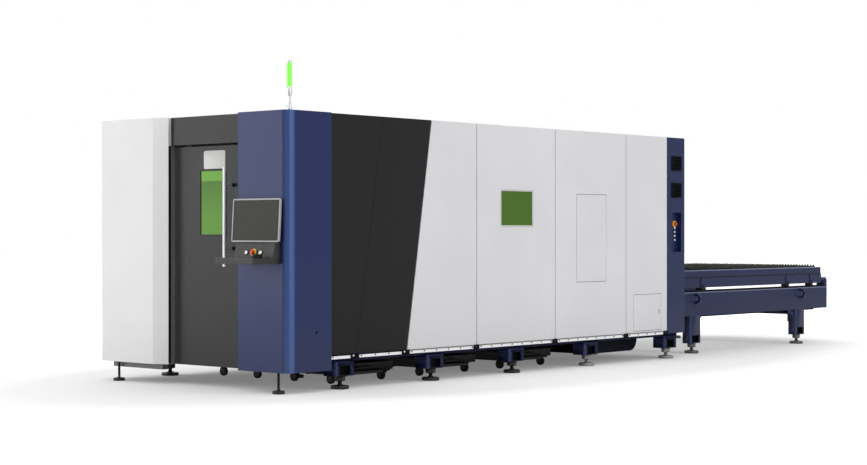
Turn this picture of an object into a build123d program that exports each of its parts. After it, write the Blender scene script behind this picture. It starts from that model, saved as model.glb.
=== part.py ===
from build123d import *
import os
from math import atan2, cos, hypot, pi, sin

# Enclosed laser cutting machine with an exchange table, in millimetres, +Z up.
# -X is the operator's end, +X the exchange table, -Y the long side with the service door.
# The origin is on the floor, under the middle of the machine's box.

# Enclosure along its length, from the operator's end
corner_side = 487.0
front_bay = 1843.0
side_bay = 1125.0
hatch_bay = 705.0
end_column_width = 315.0
table_reach = 3330.0
tray_depth = 285.0

# Enclosure across its width and over its height
half_width = 1140.0
side_step = 45.0
enclosure_top = 2200.0
front_bottom = 165.0
panel_lift = 30.0

# Folded sheet
sheet = 3.0
panel_depth = 30.0
panel_gap = 8.0
running_clearance = 0.3
overrun = 5.0
round_sides = 16
small_sides = 8

# Slanted seams of the dark front panels, measured along the top edge
first_seam = 638.0
second_seam = 1248.0
slant_run = 310.0

# Corner column, end cover and doorway
column_front = 557.0
corner_round = 62.0
corner_steps = 6
doorway_width = 918.0
cover_bevel_width = 115.0
cover_bevel_depth = 70.0
cover_edge = 25.0
header_setback = 100.0
header_height = 230.0
tower_ledge = 160.0
cable_hole_radius = 11.0
cable_hole_inset = 167.0
cable_hole_height = 470.0

# Sliding door
door_setback = 10.0
door_depth = 40.0
door_lap = 42.0
door_top_gap = 15.0
door_window_width = 295.0
door_window_height = 516.0
door_window_drop = 218.0
door_window_inset = 340.0
pane_thickness = 6.0
pane_lap = 15.0
handle_radius = 15.0
handle_length = 804.0
handle_drop = 189.0
handle_standoff = 100.0
handle_inset = 185.0
handle_post_radius = 9.0
handle_post_pitch = 510.0
track_height = 40.0
hanger_width = 90.0
hanger_thickness = 10.0
hanger_drop = 55.0
hanger_radius = 16.0
hanger_inset = 180.0
sill_setback = 65.0
sill_width = 60.0
sill_height = 47.0
sill_inset = 66.0
sill_end_gap = 102.0

# Console, keyboard tray and monitor on the corner column
console_inset = 299.0
console_width = 438.0
console_bottom_reach = 82.0
console_top_reach = 48.0
tray_top = 1055.0
tray_height = 46.0
monitor_bottom = 1178.0
monitor_width = 535.0
monitor_height = 338.0
monitor_thickness = 16.0
monitor_gap = 46.0
monitor_tilt = 3.5
monitor_corner = 16.0
monitor_bezel = 11.0
screen_thickness = 6.0
screen_recess = 3.0
arm_size = 120.0
mouse_length = 92.0
mouse_width = 54.0
mouse_height = 30.0
mouse_edge = 12.0
mouse_setback = 150.0
mouse_offset = 120.0

# Push buttons and emergency stops
button_radius = 14.0
button_length = 26.0
button_rise = 9.0
button_pitch = 80.0
button_travel = 4.0
stop_head_radius = 20.0
stop_head_height = 16.0
stop_stem_radius = 11.0
stop_rise = 12.0
button_line_share = 0.33

# Signal tower
tower_inset_x = 120.0
tower_inset_y = 100.0
tower_base_radius = 23.0
tower_base_height = 36.0
tower_pole_radius = 14.0
tower_pole_height = 82.0
tower_ring_height = 18.0
tower_socket_height = 50.0
tower_lamp_height = 186.0
tower_cap_height = 26.0
tower_cap_radius = 20.0

# Base frame with its outrigger brackets and levelling feet
foot_height = 105.0
bracket_height = 118.0
bracket_width = 208.0
bracket_setback = 5.0
bracket_depth = 135.0
bracket_hole_width = 122.0
bracket_hole_height = 74.0
bracket_floor = 8.0
first_bracket_offset = 200.0
last_bracket_offset = 65.0
rail_height = 27.0
rail_end_gap = 125.0
cross_width = 100.0
pad_radius = 75.0
pad_height = 30.0
pad_sides = 10
nut_sides = 6
neck_radius = 17.0
nut_radius = 44.0
nut_height = 42.0
foot_inset = 60.0
centre_pad_radius = 50.0
slim_pad_radius = 49.0
slim_stud_radius = 11.0
slim_foot_setback = 42.0
slim_foot_inset = 140.0
far_slim_foot_inset = 203.0
strip_thickness = 12.0
strip_height = 32.0
strip_drop = 3.0
strip_end_gap = 8.0
lug_width = 44.0
lug_height = 34.0
lug_drop = 2.0

# Enclosure frame behind the panels
post_size = 60.0

# Side window, service door and hatch
side_window_width = 440.0
side_window_height = 304.0
side_window_drop = 579.0
service_width = 466.0
service_height = 814.0
service_bottom = 794.0
hatch_width = 465.0
hatch_height = 350.0
hatch_bottom = 298.0
hatch_inset = 131.0
leaf_depth = 20.0
leaf_gap = 4.0
pivot_radius = 2.5
pivot_inset = 5.0
pivot_depth = 7.0
pivot_reach = 10.0
pivot_boss = 18.0
lock_radius = 12.0
lock_rise = 3.0
lock_inset = 40.0

# End columns, end wall and exhaust
mouth_top = 1150.0
vent_width = 172.0
vent_height = 150.0
vent_rise = 8.0
vent_border = 12.0
vent_slots = 6
vent_slot_share = 0.55
upper_vent_drop = 182.0
lower_vent_drop = 450.0
vent_inset = 80.0
recess_width = 174.0
recess_height = 394.0
recess_depth = 45.0
recess_drop = 746.0
rear_stop_drop = 114.0
rear_button_pitch = 40.0
rear_button_radius = 10.0
rear_buttons = 4
rear_control_shift = -28.0
duct_front_gap = 180.0
duct_rear_gap = 128.0
duct_width = 640.0
duct_inset = 250.0
duct_bottom = 85.0
duct_round = 115.0
collar_radius = 125.0
collar_inset = 350.0
collar_height = 620.0

# Cutting bed, guide rails and gantry
bed_gap = 20.0
bed_width = 100.0
bed_top = 1010.0
bed_front_gap = 165.0
bed_rear_gap = 150.0
bed_tie_width = 100.0
bed_tie_height = 200.0
guide_width = 30.0
guide_height = 26.0
rack_width = 22.0
rack_gap = 5.0
shoe_length = 360.0
shoe_height = 40.0
gantry_depth = 220.0
gantry_height = 200.0
gantry_park = 455.0
track_lead = 330.0
gantry_bay_share = 0.62
gantry_bays = 6
cross_guide = 20.0
motor_size = 84.0
motor_height = 190.0
carriage_width = 280.0
carriage_thickness = 35.0
carriage_margin = 30.0
head_width = 100.0
head_depth = 90.0
head_height = 330.0
head_bottom = 1020.0
nozzle_radii = (34.0, 22.0, 9.0)
nozzle_step = 20.0

# Exchange table
table_top = 633.0
beam_width = 95.0
beam_height = 244.0
front_leg_offset = 555.0
rear_leg_offset = 617.0
leg_width = 190.0
gusset_size = 70.0
table_cross_height = 36.0
table_cross_width = 80.0
table_cross_drop = 23.0
end_cross_drop = 112.0
ledge_reach = 100.0
ledge_thickness = 12.0
lower_track = 380.0
stop_plate_length = 70.0
stop_plate_height = 108.0
stop_plate_round = 30.0
eye_radius = 54.0
eye_hole_radius = 27.0
eye_thickness = 24.0
eye_drop = 66.0
eye_neck = 18.0
shaft_radius = 17.0
sprocket_radius = 22.0
sprocket_width = 12.0
sprocket_inset = 90.0
gearbox_width = 150.0
gearbox_height = 130.0
gearbox_offset = 470.0
drive_motor_radius = 55.0
drive_motor_height = 170.0

# Shuttle pallets
pallet_gap = 20.0
lower_pallet_gap = 25.0
pallet_length = 3260.0
pallet_end_gap = 131.0
pallet_travel = 3420.0
pallet_lift = 46.0
pallet_rail_width = 40.0
pallet_rail_height = 181.0
pallet_step = 100.0
pallet_step_inset = 8.0
pallet_cross_count = 7
pallet_cross_width = 50.0
slat_seat = 104.0
slat_ledge = 40.0
slat_ledge_thickness = 15.0
slat_height = 110.0
slat_tooth = 30.0
slat_thickness = 6.0
slat_count = 24
slat_teeth = 4
slat_margin = 70.0
roller_radius = 28.0
roller_width = 32.0
roller_lug_width = 60.0
roller_lug_thickness = 12.0
roller_lug_drop = 30.0
roller_lug_inset = 4.0
roller_end = 226.0
roller_pitch = 531.0

# Scrap carts
cart_width = 800.0
cart_length = 600.0
cart_bottom = 90.0
cart_height = 74.0
cart_rim = 20.0
cart_wall = 4.0
cart_inner_gap = 140.0
cart_shift = 40.0
cart_rows = 3
wheel_radius = 41.0
wheel_width = 26.0
wheel_pitch_x = 610.0
wheel_pitch_y = 430.0
wheel_clearance = 0.5
fork_thickness = 6.0
fork_width = 30.0
cart_grip_width = 160.0
cart_grip_reach = 34.0
cart_grip_size = 14.0

# Stations along the length
enclosure_length = corner_side + front_bay + 2 * side_bay + hatch_bay + end_column_width
overall_length = tray_depth + enclosure_length + table_reach
x_face = tray_depth - overall_length / 2
x_dark = x_face + corner_side
x_b = x_dark + front_bay
x_c = x_b + side_bay
x_d = x_c + side_bay
x_column = x_d + hatch_bay
x_end = x_column + end_column_width
x_table_end = x_end + table_reach
x_first_bracket = x_dark + first_bracket_offset
x_third_bracket = (x_b + x_c) / 2
bracket_stations = [x_first_bracket, (x_first_bracket + x_third_bracket) / 2, x_third_bracket, (x_c + x_d) / 2,
                    x_column + last_bracket_offset]
middle_stations = [(a + b) / 2 for a, b in zip(bracket_stations, bracket_stations[1:])]
leg_stations = [x_end + front_leg_offset, x_table_end - rear_leg_offset]

# Planes across the width
y_panel = half_width - side_step
post_outer = y_panel - panel_depth
post_inner = post_outer - post_size
bed_outer = post_inner - bed_gap
bed_inner = bed_outer - bed_width
upper_half = bed_inner - pallet_gap
table_inner = upper_half - beam_width
lower_half = table_inner - lower_pallet_gap
rail_outer = y_panel - strip_thickness
y_door = -half_width + column_front
y_cover = y_door + doorway_width
y_column = bed_outer + running_clearance

# Levels over the floor
header_bottom = enclosure_top - header_height
door_window_bottom = header_bottom - door_window_drop - door_window_height
handle_bottom = header_bottom - handle_drop - handle_length
side_window_bottom = enclosure_top - side_window_drop - side_window_height
upper_vent_bottom = enclosure_top - upper_vent_drop - vent_height
lower_vent_bottom = enclosure_top - lower_vent_drop - vent_height
recess_bottom = enclosure_top - recess_drop - recess_height
rail_bottom = foot_height + bracket_height
rail_top = rail_bottom + rail_height
panel_bottom = rail_top + panel_lift
roof_seat = enclosure_top - panel_depth
top_rail_bottom = roof_seat - post_size
guide_top = bed_top + guide_height
gantry_bottom = guide_top + running_clearance + shoe_height
gantry_top = gantry_bottom + gantry_height
beam_bottom = table_top - beam_height


def span(centre, width):
    """Low and high end of a width about its centre."""
    return centre - width / 2, centre + width / 2


def side_span(side, inner, outer):
    """Low and high end, along Y, of a stretch on one side of the machine."""
    return tuple(sorted((side * inner, side * outer)))


def block(x, y, z):
    """Box from the low and high ends along each axis."""
    sizes = [high - low for low, high in (x, y, z)]
    centre = [(high + low) / 2 for low, high in (x, y, z)]
    return Pos(*centre) * Box(*sizes)


def prism_xy(points, z):
    """Plan outline carried up between two levels."""
    face = make_face(Polyline(*[(x, y, z[0]) for x, y in points], close=True))
    return extrude(face, amount=z[1] - z[0], dir=(0, 0, 1))


def prism_xz(points, y):
    """Side outline carried across the width."""
    face = make_face(Polyline(*[(x, y[0], z) for x, z in points], close=True))
    return extrude(face, amount=y[1] - y[0], dir=(0, 1, 0))


def prism_yz(points, x):
    """End outline carried along the length."""
    face = make_face(Polyline(*[(x[0], y, z) for y, z in points], close=True))
    return extrude(face, amount=x[1] - x[0], dir=(1, 0, 0))


def rod(start, direction, radius, length, sides=round_sides):
    """Round bar from a point along a direction, with a few flat sides to keep the model light."""
    plane = Plane(origin=start, z_dir=direction)
    return extrude(plane * RegularPolygon(radius, sides), amount=length)


def pin(start, direction, radius, length):
    """Truly round bar, for a pivot or a spigot that something turns or slides on."""
    plane = Plane(origin=start, z_dir=direction)
    return plane * Cylinder(radius, length, align=(Align.CENTER, Align.CENTER, Align.MIN))


def open_box(x, y, z, wall, opening):
    """Folded tray: a thin box with one side left open, named by axis letter and sign."""
    ranges = {"x": x, "y": y, "z": z}
    inner = {axis: [low + wall, high - wall] for axis, (low, high) in ranges.items()}
    axis, sign = opening[1], opening[0]
    if sign == "+":
        inner[axis][1] = ranges[axis][1] + overrun
    else:
        inner[axis][0] = ranges[axis][0] - overrun
    return block(x, y, z) - block(inner["x"], inner["y"], inner["z"])


def offset_path(path, distance):
    """Open plan path moved to its left by a distance, with mitred corners."""
    headings = []
    for (ax, ay), (bx, by) in zip(path, path[1:]):
        length = hypot(bx - ax, by - ay)
        headings.append(((bx - ax) / length, (by - ay) / length))
    normals = [(-dy, dx) for dx, dy in headings]
    pairs = zip([normals[0]] + normals, normals + [normals[-1]])
    moved = []
    for (x, y), ((ax, ay), (bx, by)) in zip(path, pairs):
        reach = distance / (1 + ax * bx + ay * by)
        moved.append((x + (ax + bx) * reach, y + (ay + by) * reach))
    return moved


def folded_wall(path, wall, z):
    """Sheet folded along a plan path, standing between two levels."""
    return prism_xy(path + offset_path(path, wall)[::-1], z)


def side_panel(left, right, side):
    """Folded side panel whose left and right edges are given as (bottom x, top x)."""
    z = (panel_bottom, enclosure_top)
    height = z[1] - z[0]

    def edge(ends, inset, level):
        run = ends[1] - ends[0]
        across = inset * hypot(run, height) / height
        return ends[0] + run * (level - z[0]) / height + across

    def outline(inset, low, high):
        corners = [(left, inset, low), (right, -inset, low), (right, -inset, high), (left, inset, high)]
        return [(edge(ends, shift, level), level) for ends, shift, level in corners]

    outer = prism_xz(outline(panel_gap / 2, *z), side_span(side, post_outer, y_panel))
    hollow = outline(panel_gap / 2 + sheet, z[0] + sheet, z[1] - sheet)
    return outer - prism_xz(hollow, side_span(side, post_outer - overrun, y_panel - sheet))


def hinged_leaf(x_left, z_low, width, height):
    """Flush leaf with two pivot pins, and the cut and bosses that its panel needs."""
    x = (x_left, x_left + width)
    z = (z_low, z_low + height)
    leaf = open_box(x, (-y_panel, -y_panel + leaf_depth), z, sheet, "+y")
    pivot_x = x_left + pivot_inset
    pivot_y = -y_panel + pivot_depth
    head_pin = pin((pivot_x, pivot_y, z[1] - sheet), (0, 0, 1), pivot_radius, sheet + pivot_reach)
    foot_pin = pin((pivot_x, pivot_y, z[0] + sheet), (0, 0, -1), pivot_radius, sheet + pivot_reach)
    cut_x = (x[0] - leaf_gap, x[1] + leaf_gap)
    cut_z = (z[0] - leaf_gap, z[1] + leaf_gap)
    cut = block(cut_x, (-y_panel - overrun, -post_outer), cut_z)
    boss_x = span(pivot_x, pivot_boss)
    boss_y = (-y_panel + sheet, -y_panel + sheet + pivot_boss)
    bore = rod((pivot_x, pivot_y, z[0] - overrun * leaf_gap), (0, 0, 1), pivot_radius + running_clearance,
               height + 2 * overrun * leaf_gap)
    tops = block(boss_x, boss_y, (cut_z[1], cut_z[1] + pivot_reach - leaf_gap + sheet))
    feet = block(boss_x, boss_y, (cut_z[0] - pivot_reach + leaf_gap - sheet, cut_z[0]))
    return leaf + head_pin + foot_pin, cut, [tops - bore, feet - bore]


def foot(x, y, top, radius, neck, nut):
    """Levelling foot: round pad on a threaded neck, with a hexagon nut under its seat."""
    nut_low = top - nut_height
    pad = rod((x, y, 0), (0, 0, 1), radius, pad_height, pad_sides)
    stud = rod((x, y, pad_height), (0, 0, 1), neck, nut_low - pad_height, small_sides)
    return [pad, stud, rod((x, y, nut_low), (0, 0, 1), nut, nut_height, nut_sides)]


def slim_foot(x, y):
    """Slender levelling foot under the front cabinet."""
    pad = rod((x, y, 0), (0, 0, 1), slim_pad_radius, pad_height, pad_sides)
    return [pad, rod((x, y, pad_height), (0, 0, 1), slim_stud_radius, front_bottom - pad_height, small_sides)]


def portal(x, y, top):
    """Welded box over a foot, with a square hand hole right through it along Y."""
    hole_low = foot_height + bracket_floor
    hole_high = hole_low + bracket_hole_height
    hole = span(sum(x) / 2, bracket_hole_width)
    return [block(x, y, (foot_height, hole_low)), block(x, y, (hole_high, top)),
            block((x[0], hole[0]), y, (hole_low, hole_high)), block((hole[1], x[1]), y, (hole_low, hole_high))]


def base_frame():
    """Long rails, cross members and outrigger brackets, with a lug at each panel seam."""
    solids = []
    x_rail = (x_dark, x_end - rail_end_gap)
    z_rail = (rail_bottom, rail_top)
    for side in (-1, 1):
        solids.append(block(x_rail, side_span(side, bed_inner, rail_outer), z_rail))
        for x in bracket_stations:
            y = side_span(side, y_panel - bracket_setback - bracket_depth, y_panel - bracket_setback)
            solids += portal(span(x, bracket_width), y, rail_bottom)
        for x in seam_feet() + [x_b, x_c, x_d]:
            z_lug = (panel_bottom - lug_drop - lug_height, panel_bottom - lug_drop)
            solids.append(block(span(x, lug_width), side_span(side, rail_outer, y_panel), z_lug))
    for x in bracket_stations + middle_stations:
        solids.append(block(span(x, cross_width), (-bed_inner, bed_inner), z_rail))
    return solids


def seam_feet():
    """Stations where the two slanted seams reach the foot of the panels."""
    return [x_dark + first_seam - slant_run, x_dark + second_seam - slant_run]


def skirt_strips():
    """Fixing strips along the foot of both long sides, broken at each seam lug."""
    stations = [x_dark] + seam_feet() + [x_b, x_c, x_d, x_column]
    gap = lug_width / 2 + strip_end_gap
    z = (panel_bottom - strip_drop - strip_height, panel_bottom - strip_drop)
    strips = []
    for side in (-1, 1):
        for index, (a, b) in enumerate(zip(stations, stations[1:])):
            low = a if index == 0 else a + gap
            high = b if index == len(stations) - 2 else b - gap
            strips.append(block((low, high), side_span(side, rail_outer, y_panel), z))
    return strips


def levelling_feet():
    """Every foot that the machine and its table stand on."""
    solids = []
    for side in (-1, 1):
        for x in bracket_stations:
            solids += foot(x, side * (y_panel - foot_inset), foot_height, pad_radius, neck_radius, nut_radius)
        for x in leg_stations:
            solids += foot(x, side * (upper_half - beam_width / 2), foot_height, pad_radius, neck_radius,
                           nut_radius)
    solids += slim_foot(x_face + slim_foot_setback, slim_foot_inset - half_width)
    solids += slim_foot(x_face + slim_foot_setback, half_width - far_slim_foot_inset)
    for x in middle_stations:
        solids += foot(x, 0, rail_bottom, centre_pad_radius, neck_radius, nut_radius)
    return solids


def enclosure_frame():
    """Posts, top rails and roof beams that carry the panels."""
    stations = [x_dark + post_size / 2, x_b, x_c, x_d, x_column - post_size / 2]
    solids = []
    for side in (-1, 1):
        y = side_span(side, post_inner, post_outer)
        solids.append(block((x_dark, x_column), y, (top_rail_bottom, roof_seat)))
        for x in stations:
            solids.append(block(span(x, post_size), y, (rail_top, top_rail_bottom)))
    for x in stations:
        solids.append(block(span(x, post_size), (-post_inner, post_inner), (top_rail_bottom, roof_seat)))
    return solids


def roof_panels():
    """Roof trays, seated on the roof beams."""
    stations = [x_face + header_setback + panel_depth, x_b, x_c, x_d, x_column]
    y = (-post_outer + sheet, post_outer - sheet)
    z = (roof_seat, enclosure_top - sheet)
    trays = []
    for a, b in zip(stations, stations[1:]):
        trays.append(open_box((a + panel_gap / 2, b - panel_gap / 2), y, z, sheet, "-z"))
    trays.append(open_box((x_column, x_end - panel_depth), (-y_column, y_column), z, sheet, "-z"))
    return trays


def corner_column():
    """Blue corner column, folded round the near corner, with its top and bottom plates."""
    x_return = x_face + header_setback + panel_depth
    turns = [pi * step / (2 * corner_steps) for step in range(corner_steps + 1)]
    corner = [(x_face + corner_round * (1 - cos(a)), -half_width + corner_round * (1 - sin(a))) for a in turns]
    path = [(x_return, y_door), (x_face, y_door)] + corner + [(x_dark, -half_width), (x_dark, -post_outer)]
    wall = folded_wall(path, sheet, (front_bottom, enclosure_top))
    y_ledge = -half_width + tower_ledge
    cap = path[:-1] + [(x_dark, y_ledge), (x_return, y_ledge)]
    floor = path[:-1] + [(x_dark, -y_panel), (x_return, -y_panel)]
    top = prism_xy(cap, (enclosure_top - sheet, enclosure_top))
    bottom = prism_xy(floor, (front_bottom, front_bottom + sheet))
    hole = rod((x_dark - cable_hole_inset, -half_width - overrun, cable_hole_height), (0, 1, 0),
               cable_hole_radius, sheet + 2 * overrun)
    return wall + top + bottom - hole


def end_cover():
    """White cover that the door slides behind, folded round the far corner."""
    x_return = x_face + header_setback + panel_depth
    path = [(x_return, y_cover), (x_face + cover_bevel_depth, y_cover), (x_face, y_cover + cover_bevel_width),
            (x_face, half_width - cover_edge), (x_face + cover_edge, half_width), (x_dark, half_width),
            (x_dark, post_outer)]
    wall = folded_wall(path, -sheet, (front_bottom, enclosure_top))
    plate = path[:-1] + [(x_dark, y_panel), (x_return, y_panel)]
    top = prism_xy(plate, (enclosure_top - sheet, enclosure_top))
    bottom = prism_xy(plate, (front_bottom, front_bottom + sheet))
    return wall + top + bottom


def door_header():
    """Dark tray over the doorway."""
    x = (x_face + header_setback, x_face + header_setback + panel_depth)
    return open_box(x, (y_door, y_cover), (header_bottom, enclosure_top), sheet, "+x")


def door_track():
    """Rail that the door hangs from, and the bright sill bar under the cover."""
    x_back = x_face + header_setback + panel_depth
    z_low = header_bottom + door_top_gap
    rail_y = (y_door + door_top_gap, half_width - door_lap)
    rail = block((x_back, x_back + door_depth), rail_y, (z_low, z_low + track_height))
    x_sill = x_face + sill_setback
    sill_y = (y_cover + sill_inset, half_width - sill_end_gap)
    sill = block((x_sill, x_sill + sill_width), sill_y, (front_bottom - sill_height, front_bottom))
    return [rail, sill]


def sliding_door():
    """Door tray with its hangers, its window pane and its bar handle."""
    x_back = x_face + header_setback + panel_depth
    x_front = x_back + door_setback
    y = (y_door - door_lap, y_cover + door_lap)
    z = (front_bottom, header_bottom - door_top_gap)
    panel = open_box((x_front, x_front + door_depth), y, z, sheet, "+x")
    window_y = (y[0] + door_window_inset, y[0] + door_window_inset + door_window_width)
    window_z = (door_window_bottom, door_window_bottom + door_window_height)
    panel -= block((x_front - overrun, x_front + sheet + overrun), window_y, window_z)
    rail_top_z = header_bottom + door_top_gap + track_height
    plate_x = x_back + door_depth + running_clearance
    roller_z = rail_top_z + running_clearance + hanger_radius
    for centre in (y[0] + hanger_inset, y[1] - hanger_inset):
        plate_z = (z[1] - hanger_drop, roller_z + hanger_radius)
        plate = block((plate_x, plate_x + hanger_thickness), span(centre, hanger_width), plate_z)
        roller = rod((plate_x, centre, roller_z), (-1, 0, 0), hanger_radius, door_depth / 2)
        panel = panel + plate + roller
    pane_y = (window_y[0] - pane_lap, window_y[1] + pane_lap)
    pane_z = (window_z[0] - pane_lap, window_z[1] + pane_lap)
    pane = block((x_front + sheet, x_front + sheet + pane_thickness), pane_y, pane_z)
    handle_y = y[0] + door_lap + handle_inset + handle_radius
    handle_x = x_front - handle_standoff
    handle = rod((handle_x, handle_y, handle_bottom), (0, 0, 1), handle_radius, handle_length)
    middle = handle_bottom + handle_length / 2
    for level in span(middle, handle_post_pitch):
        handle += rod((handle_x, handle_y, level), (1, 0, 0), handle_post_radius, handle_standoff)
    return panel, pane, handle


def side_panels():
    """The six panels of the near long side, with the leaf of the service door and of the hatch."""
    first = (x_dark + first_seam - slant_run, x_dark + first_seam)
    second = (x_dark + second_seam - slant_run, x_dark + second_seam)
    dark_front = side_panel((x_dark, x_dark), first, -1)
    dark_slanted = side_panel(first, second, -1)
    panel_a = side_panel(second, (x_b, x_b), -1)
    panel_b = side_panel((x_b, x_b), (x_c, x_c), -1)
    window_x = span((x_b + x_c) / 2, side_window_width)
    window_z = (side_window_bottom, side_window_bottom + side_window_height)
    panel_b -= block(window_x, (-y_panel - overrun, -post_outer), window_z)
    pane_x = (window_x[0] - pane_lap, window_x[1] + pane_lap)
    pane_z = (window_z[0] - pane_lap, window_z[1] + pane_lap)
    pane = block(pane_x, (-y_panel + sheet, -y_panel + sheet + pane_thickness), pane_z)
    service_left = (x_c + x_d - service_width) / 2
    service, cut, bosses = hinged_leaf(service_left, service_bottom, service_width, service_height)
    panel_c = side_panel((x_c, x_c), (x_d, x_d), -1) - cut
    for boss in bosses:
        panel_c += boss
    hatch, cut, bosses = hinged_leaf(x_d + hatch_inset, hatch_bottom, hatch_width, hatch_height)
    lock_x = x_d + hatch_inset + hatch_width - lock_inset
    lock = rod((lock_x, -y_panel + sheet, hatch_bottom + hatch_height / 2), (0, -1, 0), lock_radius,
               sheet + lock_rise)
    panel_d = side_panel((x_d, x_d), (x_column, x_column), -1) - cut
    for boss in bosses:
        panel_d += boss
    return dark_front, dark_slanted, panel_a, panel_b, pane, panel_c, panel_d, service, hatch + lock


def rear_panels():
    """Four plain panels of the far long side, with the extraction collar through the last."""
    stations = [x_dark, x_b, x_c, x_d, x_column]
    panels = [side_panel((a, a), (b, b), 1) for a, b in zip(stations, stations[1:])]
    mouth = (x_d + collar_inset, post_outer - overrun, collar_height)
    bore = rod(mouth, (0, 1, 0), collar_radius - sheet, panel_depth + side_step + 2 * overrun)
    panels[-1] -= bore
    collar = pin((x_d + collar_inset, y_panel, collar_height), (0, 1, 0), collar_radius, side_step) - bore
    return panels + [collar]


def end_columns():
    """Near column with its vents and control recess, plain far column, and the end wall."""
    x = (x_column, x_end)
    z = (rail_top, enclosure_top)
    near = open_box(x, (-y_panel, -y_column), z, sheet, "-z")
    far = open_box(x, (y_column, y_panel), z, sheet, "-z")
    grilles = []
    for low in (upper_vent_bottom, lower_vent_bottom):
        vent_x = (x_column + vent_inset, x_column + vent_inset + vent_width)
        vent_z = (low, low + vent_height)
        hole_x = (vent_x[0] + vent_border, vent_x[1] - vent_border)
        hole_z = (vent_z[0] + vent_border, vent_z[1] - vent_border)
        near -= block(hole_x, (-y_panel - overrun, -y_panel + sheet + overrun), hole_z)
        grille = block(vent_x, (-y_panel - vent_rise, -y_panel), vent_z)
        pitch = (hole_z[1] - hole_z[0]) / vent_slots
        for slot in range(vent_slots):
            level = hole_z[0] + pitch * (slot + 0.5)
            cut_y = (-y_panel - vent_rise - overrun, -y_panel + overrun)
            grille -= block(hole_x, cut_y, span(level, pitch * vent_slot_share))
        grilles.append(grille)
    recess_x = (x_column + vent_inset, x_column + vent_inset + recess_width)
    recess_z = (recess_bottom, recess_bottom + recess_height)
    pocket = open_box((recess_x[0] - sheet, recess_x[1] + sheet), (-y_panel, -y_panel + recess_depth + sheet),
                      (recess_z[0] - sheet, recess_z[1] + sheet), sheet, "-y")
    near = near - block(recess_x, (-y_panel - overrun, -y_panel + sheet + overrun), recess_z) + pocket
    for _, radius, spot in rear_controls():
        bore_start = (spot[0], spot[1] - overrun, spot[2])
        near -= rod(bore_start, (0, 1, 0), radius + running_clearance, sheet + 2 * overrun)
    wall_x = (x_end - panel_depth, x_end)
    wall = open_box(wall_x, (-y_column, y_column), (mouth_top, enclosure_top), sheet, "-x")
    return near, far, grilles, wall


def rear_controls():
    """Name, stem radius and seat of each control in the recess of the near end column."""
    x = x_column + vent_inset + recess_width / 2 - rear_control_shift
    y = -y_panel + recess_depth
    level = recess_bottom + recess_height - rear_stop_drop
    controls = [("rear_stop", stop_stem_radius, (x, y, level))]
    for index in range(1, rear_buttons + 1):
        controls.append((f"rear_button_{index}", rear_button_radius, (x, y, level - rear_button_pitch * index)))
    return controls


def push_button(seat, out, radius):
    """Plain push button: a rod that stands out of its bore."""
    direction = Vector(*out)
    start = Vector(*seat) + direction * (button_rise - button_length)
    return rod(start, direction, radius, button_length)


def stop_button(seat, out):
    """Emergency stop: a mushroom head on a stem."""
    direction = Vector(*out)
    start = Vector(*seat) + direction * (button_rise - button_length)
    stem = rod(start, direction, stop_stem_radius, button_length - button_rise + stop_rise)
    head = rod(Vector(*seat) + direction * stop_rise, direction, stop_head_radius, stop_head_height)
    return stem + head


def console_face():
    """Outward direction of the sloping console face, and a point on its button line."""
    height = monitor_bottom - tray_top
    slope = atan2(console_bottom_reach - console_top_reach, height)
    reach = console_bottom_reach + (console_top_reach - console_bottom_reach) * button_line_share
    seat = (x_face - reach, -half_width + console_inset, tray_top + height * button_line_share)
    return (-cos(slope), 0, sin(slope)), seat


def front_controls():
    """Name, stem radius and seat of each control on the sloping console face."""
    _, (x, y, z) = console_face()
    return [("start_button", button_radius, (x, y + button_pitch, z)),
            ("front_stop", stop_stem_radius, (x, y, z)),
            ("reset_button", button_radius, (x, y - button_pitch, z))]


def console():
    """Sloping control box, bored for its three controls."""
    out, _ = console_face()
    outline = [(x_face, tray_top), (x_face - console_bottom_reach, tray_top),
               (x_face - console_top_reach, monitor_bottom), (x_face, monitor_bottom)]
    box = prism_xz(outline, span(-half_width + console_inset, console_width))
    for _, radius, seat in front_controls():
        depth = button_length - button_rise + button_travel + running_clearance
        bottom = Vector(*seat) - Vector(*out) * depth
        box -= rod(bottom, out, radius + running_clearance, depth + overrun)
    return box


def keyboard_tray():
    """Keyboard tray, a folded shelf open underneath."""
    y = span(-half_width + console_inset, console_width)
    return open_box((x_face - tray_depth, x_face), y, (tray_top - tray_height, tray_top), sheet, "-z")


def mouse():
    """Hand mouse left on the tray, with its edges taken off."""
    y = -half_width + console_inset - mouse_offset
    x = x_face - mouse_setback
    low = block(span(x, mouse_length), span(y, mouse_width), (tray_top, tray_top + mouse_height))
    shaped = chamfer(low.edges().filter_by(Axis.Z), mouse_edge)
    return chamfer(shaped.faces().sort_by(Axis.Z)[-1].edges(), mouse_edge)


def monitor():
    """Monitor case with its mounting arm, and the screen set into its front."""
    y = -half_width + console_inset
    lean = Pos(x_face - monitor_gap, y, monitor_bottom) * Rot(0, monitor_tilt, 0)
    case = block((-monitor_thickness, 0), span(0, monitor_width), (0, monitor_height))
    case = fillet(case.edges().filter_by(Axis.X), monitor_corner)
    opening_y = span(0, monitor_width - 2 * monitor_bezel)
    opening_z = (monitor_bezel, monitor_height - monitor_bezel)
    well = (-monitor_thickness - overrun, -monitor_thickness + screen_thickness + screen_recess)
    case -= block(well, opening_y, opening_z)
    glass_x = (-monitor_thickness + screen_recess, -monitor_thickness + screen_thickness + screen_recess)
    glass = block(glass_x, opening_y, opening_z)
    middle = monitor_height / 2
    back = monitor_gap + overrun
    arm = block((x_face - back, x_face), span(y, arm_size), span(monitor_bottom + middle, arm_size))
    trim = lean * block((-back, 0), span(0, monitor_width), (0, monitor_height))
    arm = arm - trim
    return [lean * case, arm], lean * glass


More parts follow.
